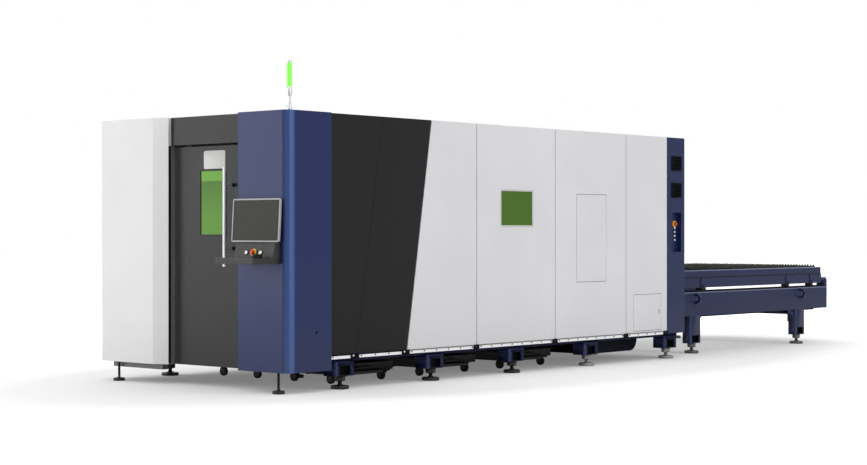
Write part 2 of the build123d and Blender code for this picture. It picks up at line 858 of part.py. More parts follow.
def signal_tower():
    """Stem and lamp of the signal tower on the corner column."""
    x = x_face + tower_inset_x
    y = -half_width + tower_inset_y
    levels = [enclosure_top]
    for rise in (tower_base_height, tower_pole_height, tower_ring_height, tower_socket_height):
        levels.append(levels[-1] + rise)
    radii = [tower_base_radius, tower_pole_radius, tower_cap_radius, tower_base_radius]
    stem = [rod((x, y, low), (0, 0, 1), radius, high - low)
            for radius, low, high in zip(radii, levels, levels[1:])]
    lamp = rod((x, y, levels[-1]), (0, 0, 1), tower_base_radius, tower_lamp_height)
    cap = rod((x, y, levels[-1] + tower_lamp_height), (0, 0, 1), tower_cap_radius, tower_cap_height)
    return stem, [lamp, cap]


def exhaust_duct():
    """Round-ended extraction duct hung under the frame by its middle cross member."""
    x = (bracket_stations[3] + bracket_width / 2 + duct_front_gap,
         bracket_stations[4] - bracket_width / 2 - duct_rear_gap)
    y = (-y_panel + duct_inset, -y_panel + duct_inset + duct_width)
    low = Line((x[0], y[0], duct_bottom), (x[1] - duct_round, y[0], duct_bottom))
    bend = TangentArc((x[1] - duct_round, y[0], duct_bottom), (x[1], y[0], duct_bottom + duct_round),
                      tangent=(1, 0, 0))
    close = Polyline((x[1], y[0], duct_bottom + duct_round), (x[1], y[0], rail_bottom),
                     (x[0], y[0], rail_bottom), (x[0], y[0], duct_bottom))
    return extrude(make_face([low, bend, close]), amount=y[1] - y[0], dir=(0, 1, 0))


def cutting_bed():
    """Side beams under the guide rails, their front tie and the tracks for both pallets."""
    x_bed = (x_dark + bed_front_gap, x_end - bed_rear_gap)
    x_track = (x_b - track_lead, x_end)
    solids = []
    for side in (-1, 1):
        solids.append(block(x_bed, side_span(side, bed_inner, bed_outer), (rail_top, bed_top)))
        upper = side_span(side, upper_half - ledge_reach, bed_inner)
        solids.append(block(x_track, upper, (table_top - ledge_thickness, table_top)))
        lower = side_span(side, table_inner - ledge_reach, bed_inner)
        solids.append(block(x_track, lower, (lower_track - ledge_thickness, lower_track)))
    tie_x = (x_bed[0], x_bed[0] + bed_tie_width)
    solids.append(block(tie_x, (-bed_inner, bed_inner), (rail_top, rail_top + bed_tie_height)))
    return solids


def guide_rails():
    """Linear rail and rack on each side beam."""
    x = (x_b - gantry_park - shoe_length / 2, x_end - bed_rear_gap)
    solids = []
    for side in (-1, 1):
        middle = (bed_inner + bed_outer) / 2
        rail = side_span(side, middle - guide_width / 2, middle + guide_width / 2)
        solids.append(block(x, rail, (bed_top, guide_top)))
        rack_inner = middle + guide_width / 2 + rack_gap
        rack = side_span(side, rack_inner, rack_inner + rack_width)
        solids.append(block(x, rack, (bed_top, guide_top - rack_gap)))
    return solids


def gantry():
    """Ribbed bridge on two shoes with its cross guides, and the two drive motors."""
    x_mid = x_b - gantry_park
    x = span(x_mid, gantry_depth)
    z = (gantry_bottom, gantry_top)
    bridge = block(x, (-bed_outer, bed_outer), z)
    bay = 2 * bed_inner / gantry_bays
    for index in range(gantry_bays):
        middle = -bed_inner + bay * (index + 0.5)
        y = span(middle, bay * gantry_bay_share)
        z_hole = span((z[0] + z[1]) / 2, gantry_height * gantry_bay_share)
        bridge -= block((x[0] - overrun, x_mid), y, z_hole)
    solids = [bridge]
    motors = []
    for side in (-1, 1):
        y = side_span(side, bed_inner + rack_gap, bed_outer)
        solids.append(block(span(x_mid, shoe_length), y, (guide_top + running_clearance, gantry_bottom)))
        seat_y = side_span(side, bed_outer - motor_size, bed_outer)
        motor = block(span(x_mid, motor_size), seat_y, (gantry_top, gantry_top + motor_height))
        motors.append(chamfer(motor.edges().filter_by(Axis.Z), rack_gap))
    for level in (z[0] + 2 * cross_guide, z[1] - 2 * cross_guide):
        guide = block((x[1], x[1] + cross_guide), (-bed_inner, bed_inner), span(level, cross_guide))
        solids.append(guide)
    front = x[1] + cross_guide + running_clearance
    carriage = block((front, front + carriage_thickness), span(0, carriage_width),
                     (z[0] - carriage_margin, z[1] + carriage_margin))
    x_head = front + carriage_thickness + running_clearance
    body = block((x_head, x_head + head_depth), span(0, head_width), (head_bottom, head_bottom + head_height))
    x_nozzle = x_head + head_depth / 2
    nozzle = []
    for step, radius in enumerate(nozzle_radii):
        start = (x_nozzle, 0, head_bottom - nozzle_step * step)
        nozzle.append(rod(start, (0, 0, -1), radius, nozzle_step, small_sides))
    return solids, motors, carriage, [body] + nozzle


def pallet(x_low, half, track):
    """Shuttle pallet on a track level: welded frame with rollers, and its serrated slats."""
    x = (x_low, x_low + pallet_length)
    low = track + pallet_lift
    seat = low + slat_seat
    top = low + pallet_rail_height
    inner = half - pallet_rail_width
    frame = []
    for side in (-1, 1):
        outline = [(inner, low), (half, low), (half, low + pallet_step), (half - pallet_step_inset, low + pallet_step),
                   (half - pallet_step_inset, top), (inner, top), (inner, seat), (inner - slat_ledge, seat),
                   (inner - slat_ledge, seat - slat_ledge_thickness), (inner, seat - slat_ledge_thickness)]
        frame.append(prism_yz([(side * y, z) for y, z in outline], x))
        for end, step in ((x[0], 1), (x[1], -1)):
            for place in (roller_end, roller_end + roller_pitch):
                station = end + step * place
                lug_y = inner + roller_lug_inset
                lug = side_span(side, lug_y, lug_y + roller_lug_thickness)
                frame.append(block(span(station, roller_lug_width), lug, (low - roller_lug_drop, low)))
                axle = (station, side * lug_y, track + running_clearance + roller_radius)
                frame.append(rod(axle, (0, -side, 0), roller_radius, roller_width, small_sides))
    pitch = (pallet_length - pallet_cross_width) / (pallet_cross_count - 1)
    for index in range(pallet_cross_count):
        start = x[0] + pitch * index
        frame.append(block((start, start + pallet_cross_width), (-inner, inner), (low, seat - slat_ledge_thickness)))
    tooth = 2 * inner / slat_teeth
    comb = [(-inner, seat), (inner, seat)]
    for index in range(slat_teeth, 0, -1):
        comb.append((-inner + tooth * index, seat + slat_height - slat_tooth))
        comb.append((-inner + tooth * (index - 0.5), seat + slat_height))
    comb.append((-inner, seat + slat_height - slat_tooth))
    slat_pitch = (pallet_length - 2 * slat_margin - slat_thickness) / (slat_count - 1)
    first = prism_yz(comb, (x[0] + slat_margin, x[0] + slat_margin + slat_thickness))
    slats = [Pos(slat_pitch * index, 0, 0) * first for index in range(slat_count)]
    return frame, slats


def table_frame():
    """Exchange table: beams, legs with gussets, cross members, tracks, end stops and lifting eyes."""
    solids = []
    for side in (-1, 1):
        y = side_span(side, table_inner, upper_half)
        solids.append(block((x_end, x_table_end), y, (beam_bottom, table_top)))
        ledge = side_span(side, table_inner - ledge_reach, table_inner)
        ledge_end = x_table_end - pallet_end_gap
        solids.append(block((x_end, ledge_end), ledge, (lower_track - ledge_thickness, lower_track)))
        stop = block((x_table_end - stop_plate_length, x_table_end), y, (table_top, table_top + stop_plate_height))
        crown = stop.faces().sort_by(Axis.Z)[-1].edges().filter_by(Axis.Y)
        solids.append(chamfer(crown, stop_plate_round))
        for index, x in enumerate(leg_stations):
            solids += portal(span(x, leg_width), y, beam_bottom)
            toward = 1 if index == 0 else -1
            root = x + toward * leg_width / 2
            web = [(root, beam_bottom), (root + toward * gusset_size, beam_bottom), (root, beam_bottom - gusset_size)]
            solids.append(prism_xz(web, span(sum(y) / 2, beam_width / 2)))
            solids.append(lifting_eye(x, side))
    for x in leg_stations:
        z = (beam_bottom - table_cross_drop - table_cross_height, beam_bottom - table_cross_drop)
        solids.append(block(span(x, table_cross_width), (-table_inner, table_inner), z))
    end_x = (x_table_end - table_cross_width, x_table_end)
    solids.append(block(end_x, (-table_inner, table_inner), (beam_bottom, table_top - end_cross_drop)))
    return solids


def lifting_eye(x, side):
    """Plate eye standing out of the outer face of a table beam."""
    centre = table_top - eye_drop
    turns = [pi * step / small_sides - pi / 2 for step in range(small_sides + 1)]
    bows = []
    for radius in (eye_radius, eye_hole_radius):
        bow = [(upper_half, centre - radius)]
        bow += [(upper_half + eye_neck + radius * cos(a), centre + radius * sin(a)) for a in turns]
        bows.append([(side * y, z) for y, z in bow + [(upper_half, centre + radius)]])
    return prism_yz(bows[0] + bows[1][::-1], span(x, eye_thickness))


def exchange_drive():
    """Cross shaft with two sprockets and the gearmotor on the end cross member."""
    x_face_end = x_table_end - table_cross_width
    x = x_face_end - sprocket_radius - overrun
    z = beam_bottom + gearbox_height / 2
    shaft = rod((x, -table_inner, z), (0, 1, 0), shaft_radius, 2 * table_inner)
    for side in (-1, 1):
        start = (x, side * (table_inner - sprocket_inset), z)
        shaft += rod(start, (0, -side, 0), sprocket_radius, sprocket_width)
    box_y = span(-gearbox_offset, gearbox_width)
    box_x = (x - sprocket_radius, x_face_end)
    box = block(box_x, box_y, span(z, gearbox_height))
    bore_start = (x, box_y[0] - overrun, z)
    box -= rod(bore_start, (0, 1, 0), shaft_radius + running_clearance, gearbox_width + 2 * overrun)
    motor = rod((sum(box_x) / 2, -gearbox_offset, z - gearbox_height / 2), (0, 0, -1), drive_motor_radius,
                drive_motor_height)
    return [shaft, box, motor]


def scrap_cart(x, side):
    """Shallow scrap tray on four wheels, with a pull bar on its outer end."""
    y = side_span(side, cart_inner_gap, cart_inner_gap + cart_length)
    z = (cart_bottom, cart_bottom + cart_height)
    inner_x = span(x, cart_width - 2 * cart_rim)
    inner_y = (y[0] + cart_rim, y[1] - cart_rim)
    tray = open_box(inner_x, inner_y, z, cart_wall, "+z")
    rim = block(span(x, cart_width), y, (z[1] - cart_wall, z[1]))
    mouth = block((inner_x[0] + cart_wall, inner_x[1] - cart_wall),
                  (inner_y[0] + cart_wall, inner_y[1] - cart_wall), (z[0], z[1] + overrun))
    solids = [tray + (rim - mouth)]
    middle_y = side * (cart_inner_gap + cart_length / 2)
    axle_z = wheel_radius + wheel_clearance
    for wheel_x, out in ((x - wheel_pitch_x / 2, -1), (x + wheel_pitch_x / 2, 1)):
        for wheel_y in span(middle_y, wheel_pitch_y):
            start = wheel_x - out * wheel_width / 2
            solids.append(rod((start, wheel_y, axle_z), (out, 0, 0), wheel_radius, wheel_width, small_sides))
            fork_x = tuple(sorted((start, start - out * fork_thickness)))
            solids.append(block(fork_x, span(wheel_y, fork_width), (axle_z - fork_width / 2, z[0])))
    grip_y = side * (cart_inner_gap + cart_length - cart_rim)
    reach = side_span(1, abs(grip_y), abs(grip_y) + cart_grip_reach + cart_rim)
    level = span((z[0] + z[1]) / 2, cart_grip_size)
    bar = block(span(x, cart_grip_width), tuple(sorted(side * v for v in reach)), level)
    gap_y = tuple(sorted((side * (reach[0] - overrun), side * (reach[1] - cart_grip_size))))
    solids.append(bar - block(span(x, cart_grip_width - 2 * cart_grip_size), gap_y, level))
    return solids


def save(name, shapes):
    """Write one node, a single solid or a group of separate solids."""
    solids = shapes if isinstance(shapes, list) else [shapes]
    whole = solids[0] if len(solids) == 1 else Compound(children=solids)
    export_step(whole, os.path.join("parts", name + ".step"))


def build():
    """Every node of the machine by name."""
    nodes = {"base_frame": base_frame(), "levelling_feet": levelling_feet(), "skirt_strips": skirt_strips(),
             "enclosure_frame": enclosure_frame(), "roof_panels": roof_panels(),
             "corner_column": corner_column(), "end_cover": end_cover(), "door_header": door_header(),
             "door_track": door_track(), "rear_panels": rear_panels(), "exhaust_duct": exhaust_duct(),
             "console": console(), "keyboard_tray": keyboard_tray(), "mouse": mouse(),
             "cutting_bed": cutting_bed(), "x_guide_rails": guide_rails(), "table_frame": table_frame(),
             "exchange_drive": exchange_drive()}
    nodes["door_panel"], nodes["door_window"], nodes["door_handle"] = sliding_door()
    side_names = ["dark_panel_front", "dark_panel_slanted", "white_panel_a", "white_panel_b", "side_window",
                  "white_panel_c", "white_panel_d", "service_door", "hatch"]
    nodes.update(zip(side_names, side_panels()))
    nodes.update(zip(["end_column", "rear_end_column", "vent_grilles", "table_end_wall"], end_columns()))
    nodes["monitor"], nodes["monitor_screen"] = monitor()
    nodes["tower_stem"], nodes["tower_lamp"] = signal_tower()
    nodes.update(zip(["gantry_beam", "gantry_drives", "head_carriage", "cutting_head"], gantry()))
    upper_start = x_table_end - pallet_end_gap - pallet_length
    nodes["upper_pallet"], nodes["upper_slats"] = pallet(upper_start, upper_half, table_top)
    nodes["lower_pallet"], nodes["lower_slats"] = pallet(upper_start - pallet_travel, lower_half, lower_track)
    carts = [(middle_stations[row] + cart_shift, side) for side in (-1, 1) for row in range(cart_rows)]
    for index, (x, side) in enumerate(carts, 1):
        nodes[f"scrap_cart_{index}"] = scrap_cart(x, side)
    console_out, _ = console_face()
    for controls, out in ((front_controls(), console_out), (rear_controls(), (0, -1, 0))):
        for name, radius, seat in controls:
            stop = name.endswith("stop")
            nodes[name] = stop_button(seat, out) if stop else push_button(seat, out, radius)
    return nodes


os.makedirs("parts", exist_ok=True)
for node_name, node_shapes in build().items():
    save(node_name, node_shapes)
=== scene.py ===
"""Looks of an enclosed laser cutting machine with an exchange table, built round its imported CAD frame."""

import logging
import math
from dataclasses import dataclass
from enum import Enum, IntEnum
from typing import Sequence

import bmesh
import bpy
import numpy as np
from mathutils import Matrix, Vector


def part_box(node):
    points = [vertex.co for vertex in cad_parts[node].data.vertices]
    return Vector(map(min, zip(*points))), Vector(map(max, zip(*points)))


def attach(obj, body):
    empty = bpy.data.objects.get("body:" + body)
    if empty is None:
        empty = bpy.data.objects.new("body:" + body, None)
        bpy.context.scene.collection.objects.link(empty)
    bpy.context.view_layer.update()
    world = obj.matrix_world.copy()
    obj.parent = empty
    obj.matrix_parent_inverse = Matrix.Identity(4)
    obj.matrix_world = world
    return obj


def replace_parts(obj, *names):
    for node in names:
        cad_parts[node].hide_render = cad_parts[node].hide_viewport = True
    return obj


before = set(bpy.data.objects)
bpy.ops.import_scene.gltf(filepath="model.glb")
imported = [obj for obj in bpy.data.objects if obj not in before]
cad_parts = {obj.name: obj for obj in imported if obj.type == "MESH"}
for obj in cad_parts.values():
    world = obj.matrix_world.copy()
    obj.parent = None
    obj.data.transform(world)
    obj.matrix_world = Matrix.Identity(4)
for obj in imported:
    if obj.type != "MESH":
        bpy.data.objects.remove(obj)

log = logging.getLogger("scene")

# Stations of the machine in metres, the same as in the part's source
X_FACE = -4.3225
X_DARK = -3.8355
X_B = -1.9925
X_C = -0.8675
X_D = 0.2575
X_COLUMN = 0.9625
X_END = 1.2775
X_TABLE_END = 4.6075
Y_PANEL = 1.095
TOP = 2.200
BRACKETS = (-3.6355, -2.53275, -1.430, -0.305, 1.0275)
MIDDLES = (-3.084125, -1.981375, -0.8675, 0.36125)
LEGS = (1.8325, 3.9905)
CARTS = (-3.044125, -1.941375, -0.8275)
SEAM_FEET = (-3.5075, -2.8975)
CONSOLE_SEAT = Vector((-4.39328, -0.841, 1.09559))
CONSOLE_OUT = Vector((-0.96386, 0.0, 0.26643))
REAR_SEAT = Vector((1.1575, -1.050, 1.340))
REAR_OUT = Vector((0.0, -1.0, 0.0))
CONSOLE_KEYS = {"start": 0.08, "reset": -0.08}
REAR_KEYS = range(1, 5)
REAR_PITCH = 0.04
TABLE_FACE = 0.865
ROLLER_ENDS = (0.226, 0.757)

# Directions, and limits of the meshes
BOTH = (-1.0, 1.0)
UPWARD = (0.0, 0.0, 1.0)
OUT_FRONT = (-1.0, 0.0, 0.0)
OUT_NEAR = (0.0, -1.0, 0.0)
FACETED = 20.0
QUARTER_TURN = math.pi / 2.0
LEAST_ROUND = 1e-5
MERGE_REACH = 1e-6

# Pairs along a profile, and a strip along X by its line in Y, half width, levels and corner radius
Profile = Sequence[tuple[float, float]]
Strip = tuple[float, float, tuple[float, float], float]


class Kind(Enum):
    """Family of surface that a finish belongs to."""

    PAINT = "paint"
    METAL = "metal"
    PLASTIC = "plastic"
    GLASS = "glass"
    LAMP = "lamp"


class Sides(IntEnum):
    """Points round a turned form."""

    HEXAGON = 6
    SCREW = 12
    POST = 20
    PLAIN = 24
    WHEEL = 28
    BEZEL = 30
    TOWER = 32
    FINE = 36


@dataclass(frozen=True)
class Finish:
    """What one surface is made of, with its colour in 8-bit sRGB."""

    name: str
    kind: Kind
    tint: tuple[int, int, int]
    rough: float = 0.45
    metal: float = 0.0
    coat: float = 0.0
    mottle: float = 0.06
    relief: float = 0.04
    grain: float = 420.0
    stretch: tuple[float, float, float] = (1.0, 1.0, 1.0)
    grime: float = 0.0
    glow: float = 0.0
    gloss: float = 0.18
    # Colour of the painted highlight on rounded edges, or of painted light on a ramp, and how much of it
    # rounded edges take
    edge: tuple[int, int, int] | None = None
    highlight_share: float = 0.87
    # X stations of a band of painted highlight
    sheen: tuple[float, float] | None = None
    # Y stations over which painted light rises toward the edge colour, against a cast shadow
    pale: tuple[float, float] | None = None
    # Height where a pane's painted highlight begins
    highlight_from: float = 9.0


WHITE = Finish("white_paint", Kind.PAINT, (224, 223, 226), 0.42, grime=0.05, gloss=0.10)
# White of the end cover with a paler edge colour: painted highlight on its bevelled fold
COVER_WHITE = Finish("cover_white_paint", Kind.PAINT, (225, 225, 225), 0.42, grime=0.05, gloss=0.10,
                     edge=(243, 243, 243))
# Darker copy of the white paint: painted shade on the roof, which the lamps above light more strongly
SHADED_ROOF_WHITE = Finish("shaded_roof_white_paint", Kind.PAINT, (200, 200, 202), 0.46, grime=0.05, gloss=0.10)
# Blue paint with a paler edge colour: painted highlight on rounded edges and on a band beside the front
# corner
BLUE = Finish("blue_paint", Kind.PAINT, (36, 46, 88), 0.40, metal=0.08, coat=0.17, grime=0.06, gloss=0.05,
              edge=(72, 97, 152), highlight_share=0.55, sheen=(X_FACE + 0.010, X_FACE + 0.090))
# Darker copy of the blue paint: painted shade on the end columns, with a paler edge colour as painted
# highlight
SHADED_END_BLUE = Finish("shaded_end_blue_paint", Kind.PAINT, (29, 39, 78), 0.40, metal=0.08, coat=0.17, grime=0.06,
                  gloss=0.05, edge=(62, 80, 128))
# Darker copy of the blue paint: painted shade on the base frame, with a bright edge colour as painted
# highlight on rounded corners
SHADED_FRAME_BLUE = Finish("shaded_frame_blue_paint", Kind.PAINT, (24, 33, 74), 0.46, grime=0.06, gloss=0.06,
                    edge=(132, 148, 218))
# Much darker copy of the blue paint: painted shade on the duct under the machine
SHADED_DUCT_BLUE = Finish("shaded_duct_blue_paint", Kind.PAINT, (14, 18, 35), 0.50, grime=0.03, gloss=0.03)
# Table blue with a paler edge colour: painted highlight on rounded edges
TABLE_BLUE = Finish("table_blue_paint", Kind.PAINT, (39, 46, 78), 0.42, mottle=0.10, grime=0.08, gloss=0.08,
                    edge=(74, 84, 122))
DARK = Finish("dark_paint", Kind.PAINT, (36, 34, 36), 0.38, gloss=0.07)
DOOR_GREY = Finish("door_grey_paint", Kind.PAINT, (42, 42, 42), 0.40, gloss=0.13)
# Door grey that turns paler toward the cover: painted light against the cover's shadow on the leaf
LEAF_GREY = Finish("door_leaf_paint", Kind.PAINT, (42, 42, 42), 0.40, gloss=0.13, edge=(88, 88, 88),
                   highlight_share=0.0, pale=(0.270, 0.335))
# Grey much paler than the door: painted light on the jamb in the cover's shade
LIT_JAMB = Finish("door_jamb_lit_paint", Kind.PAINT, (122, 122, 122), 0.46, gloss=0.10)
CONSOLE_GREY = Finish("console_paint", Kind.PAINT, (54, 54, 53), 0.40, gloss=0.17)
TRAY_GREY = Finish("tray_paint", Kind.PAINT, (50, 50, 50), 0.40, gloss=0.15)
INNER_GREY = Finish("inner_frame_paint", Kind.PAINT, (60, 61, 64), 0.55, grime=0.15)
STRIP = Finish("strip_zinc", Kind.METAL, (232, 232, 234), 0.36, metal=0.80, stretch=(0.05, 1.0, 1.0))
STEEL = Finish("brushed_steel", Kind.METAL, (205, 206, 208), 0.28, metal=0.9, stretch=(1.0, 1.0, 0.04))
HANDLE = Finish("handle_satin", Kind.METAL, (214, 214, 215), 0.40, metal=0.45, stretch=(1.0, 1.0, 0.04))
RAIL_STEEL = Finish("ground_steel", Kind.METAL, (190, 191, 194), 0.30, metal=1.0, stretch=(0.04, 1.0, 1.0))
SLAT_STEEL = Finish("slat_steel", Kind.METAL, (58, 60, 50), 0.60, metal=0.40, mottle=0.35, relief=0.25,
                    grain=60.0)
# Light blue for the top beads: painted highlight along top edges
HIGHLIGHT_BLUE = Finish("highlight_blue_paint", Kind.PAINT, (104, 112, 146), 0.36, mottle=0.10, gloss=0.35)
IRON = Finish("oiled_iron", Kind.METAL, (13, 14, 12), 0.52, metal=0.20, mottle=0.20, relief=0.12,
              grain=160.0)
# Lighter copies of the foot metal: painted light on the feet further back
LIT_FOOT_IRON = Finish("lit_foot_iron", Kind.METAL, (150, 150, 146), 0.48, metal=0.45, mottle=0.16, relief=0.10,
              grain=160.0)
HALF_LIT_FOOT_IRON = Finish("half_lit_foot_iron", Kind.METAL, (97, 97, 93), 0.50, metal=0.45, mottle=0.16, relief=0.10,
                   grain=160.0)
ALLOY = Finish("machined_alloy", Kind.METAL, (196, 198, 201), 0.34, metal=0.85, stretch=(1.0, 0.05, 1.0))
SILVER = Finish("silver_case", Kind.PLASTIC, (146, 147, 148), 0.40, metal=0.15)
TRACK = Finish("track_zinc", Kind.METAL, (86, 87, 88), 0.50, metal=0.25, stretch=(1.0, 0.05, 1.0))
VENT = Finish("vent_black", Kind.PLASTIC, (12, 12, 16), 0.60, relief=0.08, grain=900.0, gloss=0.04)
# Grey paler than the tray: painted highlight on the tray's top edge
LIP_HIGHLIGHT_GREY = Finish("tray_lip_highlight", Kind.PLASTIC, (104, 104, 104), 0.46, relief=0.05)
BLACK = Finish("black_plastic", Kind.PLASTIC, (24, 24, 25), 0.50, relief=0.10, grain=900.0)
RUBBER = Finish("black_rubber", Kind.PLASTIC, (20, 20, 20), 0.72, relief=0.12, grain=700.0)
GASKET = Finish("pale_gasket", Kind.PLASTIC, (196, 198, 192), 0.60, relief=0.06)
# Grey for the line at the white panels' feet: painted shadow line
SHADOW_LINE_GREY = Finish("shadow_line_grey", Kind.PLASTIC, (134, 134, 131), 0.60, relief=0.06)
SCREEN = Finish("screen_face", Kind.PLASTIC, (50, 50, 48), 0.36, mottle=0.03, relief=0.01, gloss=0.08)
RED = Finish("stop_red", Kind.PLASTIC, (214, 36, 28), 0.30, coat=0.3)
YELLOW = Finish("stop_yellow", Kind.PLASTIC, (250, 196, 44), 0.36, coat=0.2)
BUTTON = Finish("button_white", Kind.PLASTIC, (250, 250, 248), 0.32, coat=0.3)
PLATE = Finish("bare_plate", Kind.PLASTIC, (208, 208, 206), 0.42, mottle=0.03)
# Panes glow with their own colour, a painted glow; the door pane also has a painted highlight along its top
DOOR_GLASS = Finish("door_pane", Kind.GLASS, (88, 138, 48), 0.20, highlight_from=1.665)
SIDE_GLASS = Finish("side_pane", Kind.GLASS, (72, 106, 38), 0.20)
LAMP = Finish("lamp_lens", Kind.LAMP, (98, 234, 44), 0.25, glow=0.68)


def linear(tint: Sequence[int]) -> tuple[float, float, float, float]:
    """Turn an 8-bit sRGB colour into linear values.

    Args:
        tint: Red, green and blue from 0 to 255.

    Returns:
        Linear red, green and blue with full alpha.
    """
    values = [c / 255.0 for c in tint]
    lit = [v / 12.92 if v <= 0.04045 else ((v + 0.055) / 1.055) ** 2.4 for v in values]
    return (lit[0], lit[1], lit[2], 1.0)


def grey(tone: float) -> tuple[float, float, float, float]:
    """Linear grey with full alpha."""
    return (tone, tone, tone, 1.0)


class Wire:
    """Shader output that adds Math nodes when it is used in arithmetic."""

    def __init__(self, graph: "Graph", socket: bpy.types.NodeSocket) -> None:
        """Hold an output socket and the graph that it belongs to."""
        self.graph = graph
        self.socket = socket

    def _math(self, operation: str, first: object, second: object, clamp: bool = False) -> "Wire":
        """Result of a Math node on two wires or plain values."""
        inputs = {0: first, 1: second}
        return self.graph.node("ShaderNodeMath", inputs, operation=operation, use_clamp=clamp)

    def __add__(self, other: object) -> "Wire":
        """This value plus another."""
        return self._math("ADD", self, other)

    def __radd__(self, other: object) -> "Wire":
        """Another value plus this one."""
        return self._math("ADD", other, self)

    def __sub__(self, other: object) -> "Wire":
        """This value less another."""
        return self._math("SUBTRACT", self, other)

    def __rsub__(self, other: object) -> "Wire":
        """Another value less this one."""
        return self._math("SUBTRACT", other, self)

    def __mul__(self, other: object) -> "Wire":
        """This value times another."""
        return self._math("MULTIPLY", self, other)

    def __rmul__(self, other: object) -> "Wire":
        """Another value times this one."""
        return self._math("MULTIPLY", other, self)

    def __truediv__(self, other: object) -> "Wire":
        """This value over another."""
        return self._math("DIVIDE", self, other)

    def __rtruediv__(self, other: object) -> "Wire":
        """Another value over this one."""
        return self._math("DIVIDE", other, self)

    def __pow__(self, other: object) -> "Wire":
        """This value to the power of another."""
        return self._math("POWER", self, other)

    def __rpow__(self, other: object) -> "Wire":
        """Another value to the power of this one."""
        return self._math("POWER", other, self)

    def over(self, level: object) -> "Wire":
        """One where this value is greater than a level, else nought."""
        return self._math("GREATER_THAN", self, level)

    def size(self) -> "Wire":
        """This value without its sign."""
        return self._math("ABSOLUTE", self, 0.0)

    def largest(self, other: object) -> "Wire":
        """The greater of this value and another."""
        return self._math("MAXIMUM", self, other)

    def clamped(self) -> "Wire":
        """This value held between nought and one."""
        return self._math("ADD", self, 0.0, clamp=True)


class Graph:
    """Node tree of one material or world, grown by a single node method."""

    # Limits of the rounded-edge mask for the painted edge highlight
    flat_cosine = 0.985
    turn_span = 0.10
    # Peak of the painted highlight band
    highlight_peak = 1.4
    # Curve of the painted light on the door leaf
    painted_light_curve = 1.5

    def __init__(self, owner: bpy.types.Material | bpy.types.World) -> None:
        """Empty the owner's node tree.

        Args:
            owner: Material or world that the tree belongs to.
        """
        self.owner = owner
        owner.use_nodes = True
        self.tree = owner.node_tree
        self.tree.nodes.clear()

    def node(self, kind: str, inputs: dict | None = None, output: object = 0, **settings: object) -> Wire:
        """Add a node, link or set its inputs, and hand back one of its outputs.

        Args:
            kind: Blender's node type.
            inputs: Socket name or index to a wire or a plain value.
            output: Name or index of the output that is wanted.
            **settings: Properties of the node, set before its inputs.

        Returns:
            The wanted output as a wire.
        """
        made = self.tree.nodes.new(kind)
        for key, value in settings.items():
            setattr(made, key, value)
        for key, value in (inputs or {}).items():
            if isinstance(value, Wire):
                self.tree.links.new(value.socket, made.inputs[key])
            else:
                made.inputs[key].default_value = value
        return Wire(self, made.outputs[output]) if made.outputs else Wire(self, made.inputs[0])

    def place(self) -> Wire:
        """Object coordinates, which stay put on the piece."""
        return self.node("ShaderNodeTexCoord", output="Object")

    def noise(self, place: Wire, scale: float, detail: float = 2.0, rough: float = 0.5) -> Wire:
        """Soft noise from nought to one at a scale per metre."""
        inputs = {"Vector": place, "Scale": scale, "Detail": detail, "Roughness": rough}
        return self.node("ShaderNodeTexNoise", inputs)

    def stretched(self, place: Wire, scale: Sequence[float]) -> Wire:
        """Coordinates scaled along each axis, for a brushed grain."""
        return self.node("ShaderNodeMapping", {"Vector": place, "Scale": tuple(scale)})

    def part(self, vector: Wire, axis: str) -> Wire:
        """One axis of a vector."""
        return self.node("ShaderNodeSeparateXYZ", {"Vector": vector}, output=axis)

    def turned_edge(self) -> Wire:
        """Find rounded edges, where the surface faces between the machine's axes, as the mask of a painted
        highlight.

        Returns:
            One on rounded edges and nought on flats, by how far the normal's largest part is under one.
        """
        out = self.node("ShaderNodeNewGeometry", output="True Normal")
        x, y, z = [self.part(out, axis).size() for axis in "XYZ"]
        return ((self.flat_cosine - x.largest(y).largest(z)) / self.turn_span).clamped()

    def sheen(self, place: Wire, start: float, end: float) -> Wire:
        """Find an upright band between two stations in X, the mask of a painted highlight.

        Args:
            place: Coordinates on the piece.
            start: Station where the band begins.
            end: Station where it ends.

        Returns:
            One along the middle of the band, falling to nought at both of its sides.
        """
        half = (end - start) / 2.0
        away = (self.part(place, "X") - (start + half)).size()
        return (self.highlight_peak - away * (self.highlight_peak / half)).clamped()

    def rising(self, place: Wire, start: float, end: float) -> Wire:
        """Nought before one station in Y, rising ever faster to one at another: the mask of painted light.
        """
        return ((self.part(place, "Y") - start) / (end - start)).clamped() ** self.painted_light_curve

    def mix(self, factor: Wire, first: object, second: object) -> Wire:
        """Colour between two colours."""
        return self.node("ShaderNodeMix", {0: factor, 6: first, 7: second}, output=2, data_type="RGBA")

    def bump(self, height: Wire, strength: float, distance: float) -> Wire:
        """Surface normal from a height."""
        inputs = {"Height": height, "Strength": strength, "Distance": distance}
        return self.node("ShaderNodeBump", inputs)

    def seen(self) -> Wire:
        """Find the rays that show a backdrop.

        Returns:
            One straight to the camera, off a gloss or through glass, else nought.
        """
        kinds = ("Is Camera Ray", "Is Glossy Ray", "Is Transmission Ray")
        camera, glossy, through = [self.node("ShaderNodeLightPath", output=kind) for kind in kinds]
        return (camera + glossy + through).clamped()

    def principled(self, **inputs: object) -> bpy.types.Material:
        """Close the tree with a Principled shader, its inputs given with underscores for spaces."""
        sockets = {key.replace("_", " "): value for key, value in inputs.items()}
        return self.finish(self.node("ShaderNodeBsdfPrincipled", sockets))

    def finish(self, shader: Wire) -> bpy.types.Material | bpy.types.World:
        """Close the tree with a shader.

        Args:
            shader: What the surface or the world shows.

        Returns:
            The material or world that owns the tree.
        """
        world = isinstance(self.owner, bpy.types.World)
        self.node("ShaderNodeOutputWorld" if world else "ShaderNodeOutputMaterial", {"Surface": shader})
        return self.owner


def shaded(tint: Sequence[float], share: float, lift: float = 0.0) -> tuple[float, ...]:
    """Linear colour with each part times a share, plus a lift, held to one."""
    return tuple(min(1.0, c * share + lift) for c in tint[:3]) + (1.0,)


